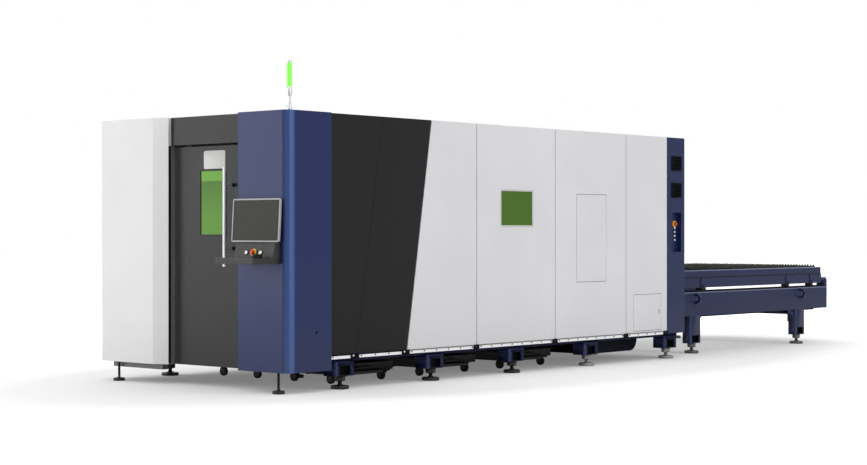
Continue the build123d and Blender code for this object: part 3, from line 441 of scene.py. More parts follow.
class Palette:
    """Materials made once each from their finishes."""

    # Middle of the noise, which swings either way from it
    mean = 0.5

    # Powder coat and plastic
    rubbed = (6.0, 6.0, 1.4)
    rub_rough = 0.16
    rub_relief = 0.6
    peel_rough = 0.05
    peel_depth = 0.0012
    coat_rough = 0.20
    dust = (118, 112, 102)
    dust_top = 0.55
    dust_base = 0.35
    dust_gain = 2.0
    dust_rough = 0.3

    # Bare metal
    oil_tone = 0.85
    cloud_share = 0.7
    line_share = 0.3
    speck = (40, 34, 28)
    speck_level = 0.66
    speck_share = 0.18
    speck_gain = 1.4
    line_rough = 0.24
    cloud_rough = 0.14
    cloud_relief = 0.4
    grain_depth = 0.0015

    # Panes: painted highlight along the top, painted shade just under it, and painted glow
    pane_edge = 90.0
    pane_fade = 0.26
    pane_shares = (0.9, 0.40, 0.15)
    pane_tones = (0.50, 1.18)
    pane_rough = 0.08
    pane_painted_glow = 0.30
    pane_gloss = 0.07

    # Lit lens
    lens_ribs = (0.1, 0.1, 60.0)
    lens_gain = 1.25
    lens_lift = 0.05
    lens_rough = 0.2
    lens_coat = 0.5

    def __init__(self) -> None:
        """Start with no materials."""
        self._made: dict[str, bpy.types.Material] = {}

    def get(self, finish: Finish) -> bpy.types.Material:
        """Material for a finish.

        Args:
            finish: What the surface is made of.

        Returns:
            The material, made at its first use.
        """
        if finish.name not in self._made:
            builders = {Kind.GLASS: self._pane, Kind.LAMP: self._lamp, Kind.METAL: self._metal}
            graph = Graph(bpy.data.materials.new(finish.name))
            self._made[finish.name] = builders.get(finish.kind, self._coated)(finish, graph)
        return self._made[finish.name]

    def _coated(self, finish: Finish, graph: Graph) -> bpy.types.Material:
        """Powder coat or moulded plastic: orange peel, faint clouding, handling marks and floor dust, with
        painted highlight and painted light where the finish asks for them.

        Args:
            finish: What the surface is made of.
            graph: Empty node tree.

        Returns:
            The material.
        """
        place = graph.place()
        cloud = graph.noise(place, scale=1.7, detail=4.0)
        peel = graph.noise(place, finish.grain, detail=1.0)
        rub = graph.noise(graph.stretched(place, self.rubbed), scale=3.0, detail=5.0, rough=0.7)
        tint = linear(finish.tint)
        colour = graph.mix(cloud, shaded(tint, 1.0 - finish.mottle), shaded(tint, 1.0 + finish.mottle))
        rough = finish.rough + (rub - self.mean) * self.rub_rough + (peel - self.mean) * self.peel_rough
        # Painted highlight on rounded edges, mixed toward the edge colour
        if finish.edge:
            share = graph.turned_edge() * finish.highlight_share
            # Painted highlight along a band beside the front corner
            if finish.sheen:
                share = share.largest(graph.sheen(place, *finish.sheen))
            # Painted light on the door leaf, rising toward the cover whose shadow falls there
            if finish.pale:
                share = share.largest(graph.rising(place, *finish.pale))
            colour = graph.mix(share, colour, linear(finish.edge))
        if finish.grime:
            low = (1.0 - graph.part(place, "Z") / self.dust_top).clamped()
            dust = (low * (rub + self.dust_base) * finish.grime * self.dust_gain).clamped()
            colour = graph.mix(dust, colour, linear(self.dust))
            rough = rough + dust * self.dust_rough
        normal = graph.bump(peel + rub * self.rub_relief, finish.relief, self.peel_depth)
        return graph.principled(Base_Color=colour, Roughness=rough.clamped(), Normal=normal,
                                Metallic=finish.metal, Specular_IOR_Level=finish.gloss,
                                Coat_Weight=finish.coat, Coat_Roughness=self.coat_rough)

    def _metal(self, finish: Finish, graph: Graph) -> bpy.types.Material:
        """Bare metal: a drawn grain, oil clouding and small dark specks.

        Args:
            finish: What the surface is made of.
            graph: Empty node tree.

        Returns:
            The material.
        """
        place = graph.place()
        lines = graph.noise(graph.stretched(place, finish.stretch), finish.grain, detail=3.0, rough=0.6)
        cloud = graph.noise(place, scale=9.0, detail=5.0, rough=0.6)
        specks = graph.noise(place, scale=140.0, detail=2.0).over(self.speck_level)
        tint = linear(finish.tint)
        share = cloud * self.cloud_share + lines * self.line_share
        colour = graph.mix(share, shaded(tint, (1.0 - finish.mottle) * self.oil_tone), tint)
        share = specks * self.speck_share * (cloud * self.speck_gain).clamped()
        colour = graph.mix(share, colour, linear(self.speck))
        rough = finish.rough + (lines - self.mean) * self.line_rough + (cloud - self.mean) * self.cloud_rough
        normal = graph.bump(lines + cloud * self.cloud_relief, finish.relief, self.grain_depth)
        return graph.principled(Base_Color=colour, Roughness=rough.clamped(), Normal=normal,
                                Metallic=finish.metal)

    def _pane(self, finish: Finish, graph: Graph) -> bpy.types.Material:
        """Tinted laser-safe pane with a painted highlight along its top, painted shade just under it that
        lightens downward, and a painted glow.

        Args:
            finish: What the pane is made of.
            graph: Empty node tree.

        Returns:
            The material.
        """
        place = graph.place()
        cloud = graph.noise(place, scale=3.0, detail=3.0)
        level = graph.part(place, "Z")
        # Painted highlight above the start height, and painted shade just under it that lightens downward
        top = ((level - finish.highlight_from) * self.pane_edge).clamped()
        fade = ((finish.highlight_from - level) / self.pane_fade).clamped()
        tint = linear(finish.tint)
        top_share, fade_share, cloud_share = self.pane_shares
        share = (top * top_share + fade * fade_share + cloud * cloud_share).clamped()
        colour = graph.mix(share, *[shaded(tint, tone) for tone in self.pane_tones])
        rough = (finish.rough + (cloud - self.mean) * self.pane_rough).clamped()
        # Emission of the pane's own colour: painted glow
        return graph.principled(Base_Color=colour, Roughness=rough, Emission_Color=colour,
                                Emission_Strength=self.pane_painted_glow, Specular_IOR_Level=self.pane_gloss)

    def _lamp(self, finish: Finish, graph: Graph) -> bpy.types.Material:
        """Lit lens: a glow that varies a little from rib to rib.

        Args:
            finish: What the lens is made of.
            graph: Empty node tree.

        Returns:
            The material.
        """
        ribs = graph.noise(graph.stretched(graph.place(), self.lens_ribs), scale=3.0, detail=1.0)
        tint = linear(finish.tint)
        colour = graph.mix(ribs, tint, shaded(tint, self.lens_gain, self.lens_lift))
        rough = (self.lens_rough + ribs * self.lens_rough).clamped()
        return graph.principled(Base_Color=colour, Roughness=rough, Emission_Color=colour,
                                Emission_Strength=finish.glow, Coat_Weight=self.lens_coat)


def rounded_outline(width: float, depth: float, corner: float, steps: int = 5) -> np.ndarray:
    """Outline of a rounded rectangle, counter-clockwise: four quarter circles joined by straights.

    Args:
        width: Size along the first axis.
        depth: Size along the second axis.
        corner: Radius of the corners.
        steps: Points in each corner's arc, less one.

    Returns:
        Points as an array of n by 2.
    """
    corner = max(LEAST_ROUND, min(corner, width / 2.0 - LEAST_ROUND, depth / 2.0 - LEAST_ROUND))
    signs = np.array([(1.0, 1.0), (-1.0, 1.0), (-1.0, -1.0), (1.0, -1.0)])
    centres = signs * (np.array([width, depth]) / 2.0 - corner)
    angles = np.arange(4)[:, None] * QUARTER_TURN + np.linspace(0.0, QUARTER_TURN, steps + 1)
    arcs = corner * np.stack([np.cos(angles), np.sin(angles)], axis=2)
    return (centres[:, None, :] + arcs).reshape(-1, 2)


def facing(spot: Sequence[float], out: Sequence[float]) -> Matrix:
    """Matrix whose Z points out of a surface at a spot.

    Args:
        spot: Point on the surface.
        out: Outward direction.

    Returns:
        A rigid matrix.
    """
    turn = Vector(out).normalized().to_track_quat("Z", "Y").to_matrix().to_4x4()
    return Matrix.Translation(Vector(spot)) @ turn


def beside(x: float, line: float, level: float, side: float) -> Matrix:
    """Matrix whose Z points out of a long side, at a station, a distance from the middle and a level."""
    return facing((x, side * line, level), (0.0, side, 0.0))


def roller_stations(node: str) -> tuple[float, ...]:
    """Stations in X of a pallet's rollers, at two distances from each of its ends."""
    low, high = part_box(node)
    return tuple(low.x + away for away in ROLLER_ENDS) + tuple(high.x - away for away in ROLLER_ENDS)


def placed(points: np.ndarray, matrix: Matrix) -> np.ndarray:
    """Points turned and moved by a rigid matrix.

    Args:
        points: Array whose last axis has 3 values.
        matrix: Where the points go.

    Returns:
        The moved points, in the same layout.
    """
    return points @ np.array(matrix.to_3x3()).T + np.array(matrix.translation)


class Shape:
    """Mesh in the making: points and faces that grow from numpy surfaces."""

    def __init__(self) -> None:
        """Start with no points and no faces."""
        self._points: list[np.ndarray] = []
        self._faces: list[list[int]] = []
        self._count = 0

    def _take(self, points: np.ndarray) -> int:
        """Add points.

        Args:
            points: Array whose last axis has 3 values.

        Returns:
            Index of the first of them.
        """
        start = self._count
        self._points.append(points.reshape(-1, 3))
        self._count += self._points[-1].shape[0]
        return start

    def surface(self, grid: np.ndarray, wrap_u: bool = False, wrap_v: bool = False) -> "Shape":
        """Add a quad surface over a grid of points: each cell's four corners make one face.

        Args:
            grid: Array of rows by columns by 3.
            wrap_u: Whether the last row joins the first.
            wrap_v: Whether the last column joins the first.

        Returns:
            This shape.
        """
        rows, columns = grid.shape[:2]
        index = self._take(grid) + np.arange(rows * columns).reshape(rows, columns)
        if wrap_u:
            index = np.vstack([index, index[:1]])
        if wrap_v:
            index = np.hstack([index, index[:, :1]])
        quads = np.stack([index[:-1, :-1], index[:-1, 1:], index[1:, 1:], index[1:, :-1]], axis=2)
        self._faces += quads.reshape(-1, 4).tolist()
        return self

    def cap(self, ring: np.ndarray, flip: bool = False) -> "Shape":
        """Close a ring of points with one face.

        Args:
            ring: Points in order, n by 3.
            flip: Whether the face looks the other way.

        Returns:
            This shape.
        """
        loop = self._take(ring) + np.arange(len(ring))
        self._faces.append((loop[::-1] if flip else loop).tolist())
        return self

    def tube(self, grid: np.ndarray) -> "Shape":
        """Add rings of points as a wall that is closed at both of its ends.

        Args:
            grid: Array of rings by points by 3.

        Returns:
            This shape.
        """
        return self.surface(grid, wrap_v=True).cap(grid[0], flip=True).cap(grid[-1])

    def lathe(self, profile: Profile, matrix: Matrix, sides: int = Sides.PLAIN,
              hollow: bool = False) -> "Shape":
        """Add a turned form: each point is (radius x cosine, radius x sine, height) at an angle.

        Args:
            profile: Pairs of radius and height, from bottom to top.
            matrix: Its Z is the axis.
            sides: Points round the axis.
            hollow: Whether the profile closes on itself, as a ring does, instead of ending in two caps.

        Returns:
            This shape.
        """
        radii, heights = np.array(profile, dtype=float).T
        angles = np.linspace(0.0, 4.0 * QUARTER_TURN, sides, endpoint=False)
        level = np.repeat(heights[:, None], sides, axis=1)
        turned = np.stack([np.outer(radii, np.cos(angles)), np.outer(radii, np.sin(angles)), level], axis=2)
        grid = placed(turned, matrix)
        return self.surface(grid, wrap_u=True, wrap_v=True) if hollow else self.tube(grid)

    def bar(self, low: Sequence[float], high: Sequence[float], round_off: float) -> "Shape":
        """Add a bar between two corners: a rounded rectangle in plan, carried up to its highest level.

        Args:
            low: Lowest corner.
            high: Highest corner.
            round_off: Radius of the upright edges.

        Returns:
            This shape.
        """
        low, high = np.array(low, dtype=float), np.array(high, dtype=float)
        width, depth, _ = high - low
        outline = rounded_outline(width, depth, round_off) + (low[:2] + high[:2]) / 2.0
        return self.column(outline, low[2], high[2])

    def column(self, outline: np.ndarray, low: float, high: float) -> "Shape":
        """Add an upright column: an outline in plan, carried from one level to another."""
        levels = np.repeat(np.array([low, high])[:, None, None], len(outline), axis=1)
        return self.tube(np.concatenate([np.stack([outline, outline]), levels], axis=2))

    def strip(self, ends: tuple[float, float], side: float, line: float, half: float,
              levels: tuple[float, float], round_off: float) -> "Shape":
        """Add a bar along X on one side of the machine.

        Args:
            ends: Stations in X.
            side: -1 for the near side or 1 for the far one.
            line: Distance of the bar's middle from the machine's middle.
            half: Half of its width.
            levels: Its lowest and highest level.
            round_off: Radius of its upright edges.

        Returns:
            This shape.
        """
        y = side * line
        return self.bar((ends[0], y - half, levels[0]), (ends[1], y + half, levels[1]), round_off)

    def rod(self, ends: tuple[float, float], side: float, line: float, level: float,
            outline: np.ndarray) -> "Shape":
        """Add an outline carried along X on one side of the machine.

        Args:
            ends: Stations in X.
            side: -1 for the near side or 1 for the far one.
            line: Distance of the rod's middle from the machine's middle.
            level: Height of its middle.
            outline: Points of the outline, n by 2.

        Returns:
            This shape.
        """
        path = np.array([(x, side * line, level) for x in ends])
        return self.sweep(path, np.tile([0.0, 1.0, 0.0], (2, 1)), UPWARD, outline)

    def sweep(self, path: np.ndarray, across: np.ndarray, up: Sequence[float],
              outline: np.ndarray) -> "Shape":
        """Add an outline carried along a path: point + first axis x across + second axis x up.

        Args:
            path: Points of the path, n by 3, running along across x up.
            across: Direction of the outline's first axis at each point.
            up: Direction of its second axis.
            outline: Points of the outline, m by 2.

        Returns:
            This shape.
        """
        side = outline[None, :, :1] * across[:, None, :]
        return self.tube(path[:, None, :] + side + outline[None, :, 1:] * np.asarray(up, dtype=float))

    def plate(self, plane: Matrix, outline: np.ndarray, steps: Profile, cup: bool = False) -> "Shape":
        """Add a flat plate: its outline, scaled by each step's share and lifted to each step's height.

        Args:
            plane: Where the plate lies, with Z out of it.
            outline: Points of the outline, n by 2.
            steps: Pairs of share and height.
            cup: Whether the first step stays open, as the mouth of a cup.

        Returns:
            This shape.
        """
        share, rise = np.array(steps, dtype=float).T
        flat = outline[None, :, :] * share[:, None, None]
        level = np.repeat(rise[:, None, None], len(outline), axis=1)
        grid = placed(np.concatenate([flat, level], axis=2), plane)
        return self.surface(grid, wrap_v=True).cap(grid[-1]) if cup else self.tube(grid)

    def frame_ring(self, plane: Matrix, size: tuple[float, float], section: Profile,
                   corner: float) -> "Shape":
        """Add a moulded frame: a section of outward and height pairs carried round a rounded rectangle.

        Args:
            plane: Where the frame lies, with Z out of it.
            size: Width and height of the rectangle.
            section: Pairs of outward and height, counter-clockwise.
            corner: Radius of the rectangle's corners.

        Returns:
            This shape.
        """
        width, height = size
        grown = [(2.0 * out, corner + max(0.0, out)) for out, _ in section]
        rings = [rounded_outline(width + more, height + more, turn) for more, turn in grown]
        levels = np.repeat(np.array(section, dtype=float)[:, 1][:, None, None], len(rings[0]), axis=1)
        grid = placed(np.concatenate([np.stack(rings), levels], axis=2), plane)
        return self.surface(grid, wrap_u=True, wrap_v=True)

    def build(self, name: str, finish: Finish, body: str, slot: str,
              smooth: float = 35.0) -> bpy.types.Object:
        """Make the Blender object with its seams merged and set it on its CAD body.

        Args:
            name: Name of the piece.
            finish: What it is made of.
            body: CAD body that it rides on.
            slot: Not used.
            smooth: Largest angle, in degrees, that is shaded smooth.

        Returns:
            The new object.
        """
        mesh = bpy.data.meshes.new(name)
        mesh.from_pydata(np.concatenate(self._points).tolist(), [], self._faces)
        merged = bmesh.new()
        merged.from_mesh(mesh)
        bmesh.ops.remove_doubles(merged, verts=merged.verts, dist=MERGE_REACH)
        merged.to_mesh(mesh)
        merged.free()
        mesh.validate()
        mesh.update()
        mesh.polygons.foreach_set("use_smooth", np.ones(len(mesh.polygons), dtype=bool))
        mesh.set_sharp_from_angle(angle=math.radians(smooth))
        mesh.materials.append(PALETTE.get(finish))
        piece = bpy.data.objects.new(name, mesh)
        bpy.context.scene.collection.objects.link(piece)
        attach(piece, body)
        log.info("piece %s on %s", name, body)
        return piece


@dataclass
class CadDress:
    """CAD nodes that keep their own shape and get a finish and softened edges."""

    finish: Finish
    nodes: Sequence[str]
    edge: float = 0.002
    fold: float = 35.0
    weld: float = 1e-5
    segments: int = 2
    weight: int = 80

    def build(self) -> None:
        """Give each node its material, weld its triangles and bevel folds over the given degrees."""
        for name in self.nodes:
            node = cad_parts[name]
            node.data.materials.clear()
            node.data.materials.append(PALETTE.get(self.finish))
            weld = node.modifiers.new("weld", "WELD")
            weld.merge_threshold = self.weld
            if self.edge:
                bevel = node.modifiers.new("edge", "BEVEL")
                bevel.width = self.edge
                bevel.segments = self.segments
                bevel.limit_method = "ANGLE"
                bevel.angle_limit = math.radians(self.fold)
                bevel.use_clamp_overlap = True
                bevel.harden_normals = False
            normals = node.modifiers.new("normals", "WEIGHTED_NORMAL")
            normals.keep_sharp = False
            normals.weight = self.weight
            log.info("node %s in %s", name, self.finish.name)


@dataclass
class SlatBed:
    """Serrated support slats of one pallet, with tips burnt to uneven heights."""

    node: str
    body: str
    count: int = 24
    teeth: int = 46
    thickness: float = 0.006
    tooth: float = 0.026
    tip_wear: float = 0.006
    root_wear: float = 0.002
    seed: int = 7

    def build(self) -> None:
        """Make the slats that stand for the CAD ones: tips and roots in turn along each slat."""
        low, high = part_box(self.node)
        rng = np.random.default_rng(self.seed)
        shape = Shape()
        y = np.linspace(low.y, high.y, 2 * self.teeth + 1)
        for x in np.linspace(low.x, high.x - self.thickness, self.count):
            crest = high.z - rng.uniform(0.0, self.tip_wear, len(y))
            root = high.z - self.tooth + rng.uniform(-self.root_wear, self.root_wear, len(y))
            top = np.where(np.arange(len(y)) % 2 == 1, crest, root)
            foot = np.full(len(y), low.z)
            rows = [(x + self.thickness, foot), (x + self.thickness, top), (x, top), (x, foot)]
            grid = np.stack([np.column_stack([np.full(len(y), px), y, z]) for px, z in rows])
            shape.surface(grid, wrap_u=True)
            shape.cap(grid[:, 0])
            shape.cap(grid[:, -1], flip=True)
        piece = shape.build(f"{self.node}_teeth", SLAT_STEEL, self.body, "slat_steel", FACETED)
        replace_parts(piece, self.node)


@dataclass
class Feet:
    """Levelling feet with threaded studs, hexagon nuts and thick rounded pads."""

    pad: Profile = ((0.067, 0.0), (0.073, 0.002), (0.075, 0.006), (0.075, 0.021), (0.0735, 0.0255),
                    (0.069, 0.028), (0.042, 0.0290), (0.030, 0.0300), (0.025, 0.033), (0.0215, 0.037),
                    (0.0175, 0.039))
    stud: float = 0.017
    stud_low: float = 0.040
    thread: float = 0.0016
    pitch: float = 0.004
    nut: float = 0.044
    nut_height: float = 0.042
    nut_bevel: float = 0.006
    nut_ends: tuple[float, float] = (0.86, 0.9)
    nut_turn: float = 15.0
    bracket_line: float = 1.035
    leg_line: float = 0.8175
    outer_top: float = 0.105
    middle_top: float = 0.223
    middle_scale: float = 0.66
    oiled_count: int = 3
    slim_spots: Sequence[tuple[float, float]] = ((X_FACE + 0.042, -1.0), (X_FACE + 0.042, 0.937))
    slim_share: tuple[float, float] = (0.65, 0.9)
    slim_stud: tuple[float, float, float] = (0.011, 0.032, 0.165)

    def _stud(self, radius: float, low: float, high: float) -> list[tuple[float, float]]:
        """Profile of a threaded stud: crests and roots in turn, half a pitch apart.

        Args:
            radius: Radius at the crests.
            low: Level of the lower end.
            high: Level of the upper end.

        Returns:
            Pairs of radius and height.
        """
        turns = max(1, int((high - low) / self.pitch))
        levels = np.linspace(low, high, 2 * turns + 1)
        radii = radius - self.thread * (np.arange(len(levels)) % 2)
        return list(zip(radii.tolist(), levels.tolist()))

    def _foot(self, shape: Shape, x: float, y: float, top: float, scale: float = 1.0) -> None:
        """Add one foot with its nut.

        Args:
            shape: Shape that takes the foot.
            x: Station of the foot.
            y: Line of the foot.
            top: Level of the nut's top.
            scale: Width of the pad against the full one.
        """
        nut_low = top - self.nut_height
        pad = [(radius * scale, level) for radius, level in self.pad]
        matrix = Matrix.Translation((x, y, 0.0))
        shape.lathe(pad + self._stud(self.stud, self.stud_low, nut_low), matrix, Sides.WHEEL)
        lower, upper = self.nut_ends
        hexagon = [(self.nut * lower, nut_low), (self.nut, nut_low + self.nut_bevel),
                   (self.nut, top - self.nut_bevel), (self.nut * upper, top)]
        shape.lathe(hexagon, matrix @ Matrix.Rotation(math.radians(self.nut_turn), 4, "Z"), Sides.HEXAGON)

    def build(self) -> None:
        """Make every foot where the CAD has one, the lighter copies, which are painted light, in pieces of
        their own.
        """
        oiled, lit_copy, dull = Shape(), Shape(), Shape()
        for side in BOTH:
            for index, x in enumerate(BRACKETS):
                # Feet past the first few in a lighter copy of the metal: painted light
                shape = oiled if index < self.oiled_count else lit_copy
                self._foot(shape, x, side * self.bracket_line, self.outer_top)
            for x in LEGS:
                # Table feet in a half-lit copy of the metal: painted light
                self._foot(dull, x, side * self.leg_line, self.outer_top)
        width, height = self.slim_share
        slim = [(radius * width, level * height) for radius, level in self.pad[:-2]]
        slim += self._stud(*self.slim_stud)
        for x, y in self.slim_spots:
            oiled.lathe(slim, Matrix.Translation((x, y, 0.0)))
        for x in MIDDLES:
            self._foot(oiled, x, 0.0, self.middle_top, self.middle_scale)
        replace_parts(oiled.build("levelling_feet_turned", IRON, "machine", "foot_iron"), "levelling_feet")
        lit_copy.build("levelling_feet_lit_copy", LIT_FOOT_IRON, "machine", "foot_iron")
        dull.build("table_feet_lit_copy", HALF_LIT_FOOT_IRON, "machine", "foot_iron")


@dataclass
class DoorTrim:
    """Gaskets of both windows, the bare plate on the door, and the brush seal and jamb beside it: the brush
    black as painted shadow of the gap, the jamb pale as painted light.
    """

    gasket: Profile = ((-0.003, -0.001), (0.006, -0.001), (0.006, 0.002), (0.004, 0.0035), (-0.001, 0.0035),
                       (-0.003, 0.001))
    gasket_lap: float = 0.008
    gasket_corner: float = 0.008
    gasket_stand: float = 0.003
    plate_spot: tuple[float, float] = (-0.1535, 1.843)
    plate: tuple[float, float, float] = (0.258, 0.148, 0.016)
    plate_steps: Profile = ((1.0, 0.0), (1.0, 0.0010), (0.992, 0.0016))
    levels: tuple[float, float] = (0.168, 1.968)
    brush: tuple[float, float] = (X_FACE + 0.0715, X_FACE + 0.0985)
    brush_grid: tuple[int, int] = (361, 5)
    brush_back: float = 0.0001
    bristle: float = 0.0006
    bristle_wave: float = 0.0005
    bristle_shares: tuple[float, float] = (0.2, 1.0)
    jamb: tuple[float, float] = (X_FACE + 0.099, X_FACE + 0.1395)
    jamb_stand: tuple[float, float] = (0.0016, 0.0002)
    jamb_round: float = 0.0006

    def build(self) -> None:
        """Make the thin trim of the door and the windows."""
        self._gasket("door_window", OUT_FRONT, 1, DOOR_GREY, "door", "door_grey")
        self._gasket("side_window", OUT_NEAR, 0, GASKET, "machine", "case_silver")
        door_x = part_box("door_panel")[0].x
        plate = Shape().plate(facing((door_x,) + self.plate_spot, OUT_FRONT), rounded_outline(*self.plate),
                              self.plate_steps)
        plate.build("door_bare_plate", PLATE, "door", "case_silver")
        self._seal()

    def _gasket(self, node: str, out: Sequence[float], across: int, finish: Finish, body: str,
                slot: str) -> None:
        """Make one gasket: its section carried round the pane.

        Args:
            node: CAD node of the pane.
            out: Outward direction.
            across: Axis along the pane's width, 0 for X or 1 for Y.
            finish: What the gasket is made of.
            body: CAD body that it rides on.
            slot: Material slot of the record.
        """
        low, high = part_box(node)
        middle = (low + high) / 2.0
        face = 1 - across
        middle[face] = low[face] - self.gasket_stand
        size = (high[across] - low[across] - 2 * self.gasket_lap, high.z - low.z - 2 * self.gasket_lap)
        ring = Shape().frame_ring(facing(middle, out), size, self.gasket, self.gasket_corner)
        ring.build(f"{node}_gasket", finish, body, slot)

    def _seal(self) -> None:
        """Make the brush, whose bristles stand out and back in turn, black as painted shadow in the gap, and
        the jamb behind it, pale as painted light in the cover's shade.
        """
        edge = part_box("end_cover")[0].y
        rows, columns = self.brush_grid
        x, z = np.meshgrid(np.linspace(*self.brush, columns), np.linspace(*self.levels, rows))
        turn = np.cos(np.arange(rows) * math.pi)[:, None]
        bristle = self.bristle + self.bristle_wave * turn * np.linspace(*self.bristle_shares, columns)
        front = np.stack([x, edge - bristle, z], axis=2)
        back = np.stack([x, np.full(x.shape, edge - self.brush_back), z], axis=2)
        # Black brush over the cover's return: painted shadow of the gap
        brush = Shape().tube(np.concatenate([front, back[:, ::-1]], axis=1))
        brush.build("cover_brush_shadow", RUBBER, "machine", "black_plastic")
        # Jamb in the pale grey: painted light
        low, high = zip(self.jamb, [edge - stand for stand in self.jamb_stand], self.levels)
        jamb = Shape().bar(low, high, self.jamb_round)
        jamb.build("cover_jamb", LIT_JAMB, "machine", "door_grey")


@dataclass
class TrayLip:
    """Rounded lip along two sides of the keyboard tray, paler than the tray as a painted highlight on its
    top edge.
    """

    section: tuple[float, float, float, int] = (0.006, 0.006, 0.0028, 3)
    inset: float = 0.003
    end: float = 0.004
    sink: float = 0.002
    mitre: float = 0.7071

    def build(self) -> None:
        """Make the lip: its section carried round the tray's corner."""
        low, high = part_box("keyboard_tray")
        level = high.z - self.sink
        path = np.array([[high.x - self.end, high.y - self.inset, level],
                         [low.x + self.inset, high.y - self.inset, level],
                         [low.x + self.inset, low.y + self.inset, level]])
        across = np.array([[0.0, -1.0, 0.0], [self.mitre, -self.mitre, 0.0], [1.0, 0.0, 0.0]])
        lip = Shape().sweep(path, across, UPWARD, rounded_outline(*self.section))
        lip.build("tray_lip_highlight", LIP_HIGHLIGHT_GREY, "machine", "console_grey")


@dataclass
class SeamLugs:
    """Near-black covers and bolts of the lugs at the foot of each panel seam, the covers' black being
    painted shade, and strips along the panels' feet that are painted shadow lines.
    """

    height: float = 0.040
    corner: float = 0.008
    steps: Profile = ((1.0, -0.004), (1.0, 0.0062), (0.94, 0.0082))
    bolt: Profile = ((0.0088, 0.0), (0.0088, 0.004), (0.0076, 0.0052), (0.003, 0.0054))
    wide: float = 0.092
    wide_shift: float = 0.0165
    wide_bolt: float = 0.044
    narrow: float = 0.072
    narrow_shift: float = 0.0065
    narrow_bolt: float = 0.028
    narrow_stations: Sequence[float] = (X_B, X_C, X_D, X_COLUMN - 0.022)
    level: float = 0.260
    bolt_level: float = 0.266
    bolt_stand: float = 0.008
    # Strip at the top of the fixing strips: painted shadow line between strip and panel
    seal: Strip = (Y_PANEL + 0.001, 0.0016, (0.2690, 0.2795), 0.0008)
    shadow_line_ends: Sequence[float] = (X_DARK + 0.004, SEAM_FEET[1] + 0.010, X_COLUMN - 0.004)

    def build(self) -> None:
        """Make wide covers with bright bolts under the dark panels, narrow ones under the white."""
        covers, bright, dull, shadow_lines = Shape(), Shape(), Shape(), Shape()
        groups = ((SEAM_FEET, self.wide, self.wide_shift, self.wide_bolt, bright),
                  (self.narrow_stations, self.narrow, self.narrow_shift, self.narrow_bolt, dull))
        start, middle, end = self.shadow_line_ends
        for side in BOTH:
            for stations, width, shift, bolt_shift, bolts in groups:
                outline = rounded_outline(width, self.height, self.corner)
                for x in stations:
                    # Near-black covers on the lugs: painted shade
                    covers.plate(beside(x - shift, Y_PANEL, self.level, side), outline, self.steps)
                    spot = beside(x - bolt_shift, Y_PANEL + self.bolt_stand, self.bolt_level, side)
                    bolts.lathe(self.bolt, spot, Sides.HEXAGON)
            # Dark under the dark panels and grey under the white: painted shadow line
            for shape, ends in ((covers, (start, middle)), (shadow_lines, (middle, end))):
                shape.strip(ends, side, *self.seal)
        covers.build("seam_lug_shade_covers", VENT, "machine", "black_plastic")
        shadow_lines.build("panel_foot_shadow_lines", SHADOW_LINE_GREY, "machine", "case_silver")
        bright.build("seam_lug_bolts", STEEL, "machine", "bright_steel", FACETED)
        dull.build("panel_lug_bolts", IRON, "machine", "foot_iron", FACETED)


@dataclass
class Brackets:
    """Dark cups in the hand holes of the brackets and legs as painted shade, and a rounded post at a corner
    of each with a painted highlight.
    """

    hole: tuple[float, float, float] = (0.1215, 0.0735, 0.010)
    hole_steps: Profile = ((1.0, 0.0335), (1.0, 0.0), (0.90, -0.006))
    hole_inset: float = 0.034
    hole_level: float = 0.150
    post: tuple[float, float, float, int] = (0.026, 0.026, 0.012, 6)
    post_inset: float = 0.0115
    post_foot: float = 0.106
    post_gap: float = 0.001
    bracket: tuple[float, float, float] = (1.090, 0.104, 0.223)
    leg: tuple[float, float, float] = (TABLE_FACE, 0.095, 0.389)

    def build(self) -> None:
        """Set a dark cup in each hole as painted shade and stand a post at each corner, by face, half width
        and top.
        """
        hole_shades, posts = Shape(), Shape()
        hole, bead = rounded_outline(*self.hole), rounded_outline(*self.post)
        stations = [(x,) + self.bracket for x in BRACKETS] + [(x,) + self.leg for x in LEGS]
        for side in BOTH:
            for x, face, half, top in stations:
                plane = beside(x, face - self.hole_inset, self.hole_level, side)
                # Dark cup in the hole: painted shade
                hole_shades.plate(plane, hole, self.hole_steps, cup=True)
                corner = np.array([x - half + self.post_inset, side * (face - self.post_inset)])
                posts.column(bead + corner, self.post_foot, top - self.post_gap)
        hole_shades.build("bracket_hole_shades", VENT, "machine", "black_plastic")
        posts.build("bracket_corners", SHADED_FRAME_BLUE, "machine", "blue_paint")


@dataclass
class LiftingEyes:
    """Rounded rims over the plate eyes of the table's beams."""

    section: tuple[float, float, float] = (0.0286, 0.0256, 0.010)
    radius: float = 0.0405
    neck: float = 0.018
    root: float = 0.002
    level: float = 0.567
    points: int = 25

    def build(self) -> None:
        """Make each rim: its section carried out of the beam, round half a circle and back."""
        rims = Shape()
        outline = rounded_outline(*self.section)
        turns = np.linspace(-QUARTER_TURN, QUARTER_TURN, self.points)
        out = np.concatenate([[0.0], np.cos(turns), [0.0]])
        rise = np.concatenate([[-1.0], np.sin(turns), [1.0]])
        reach = TABLE_FACE + self.neck + self.radius * out
        reach[[0, -1]] = TABLE_FACE - self.root
        for side in BOTH:
            for x in LEGS:
                path = np.column_stack([np.full(len(out), x), side * reach, self.level + self.radius * rise])
                across = np.column_stack([np.zeros(len(out)), side * out, rise])
                rims.sweep(path, across, (-side, 0.0, 0.0), outline)
        rims.build("lifting_eye_rims", TABLE_BLUE, "machine", "blue_paint")


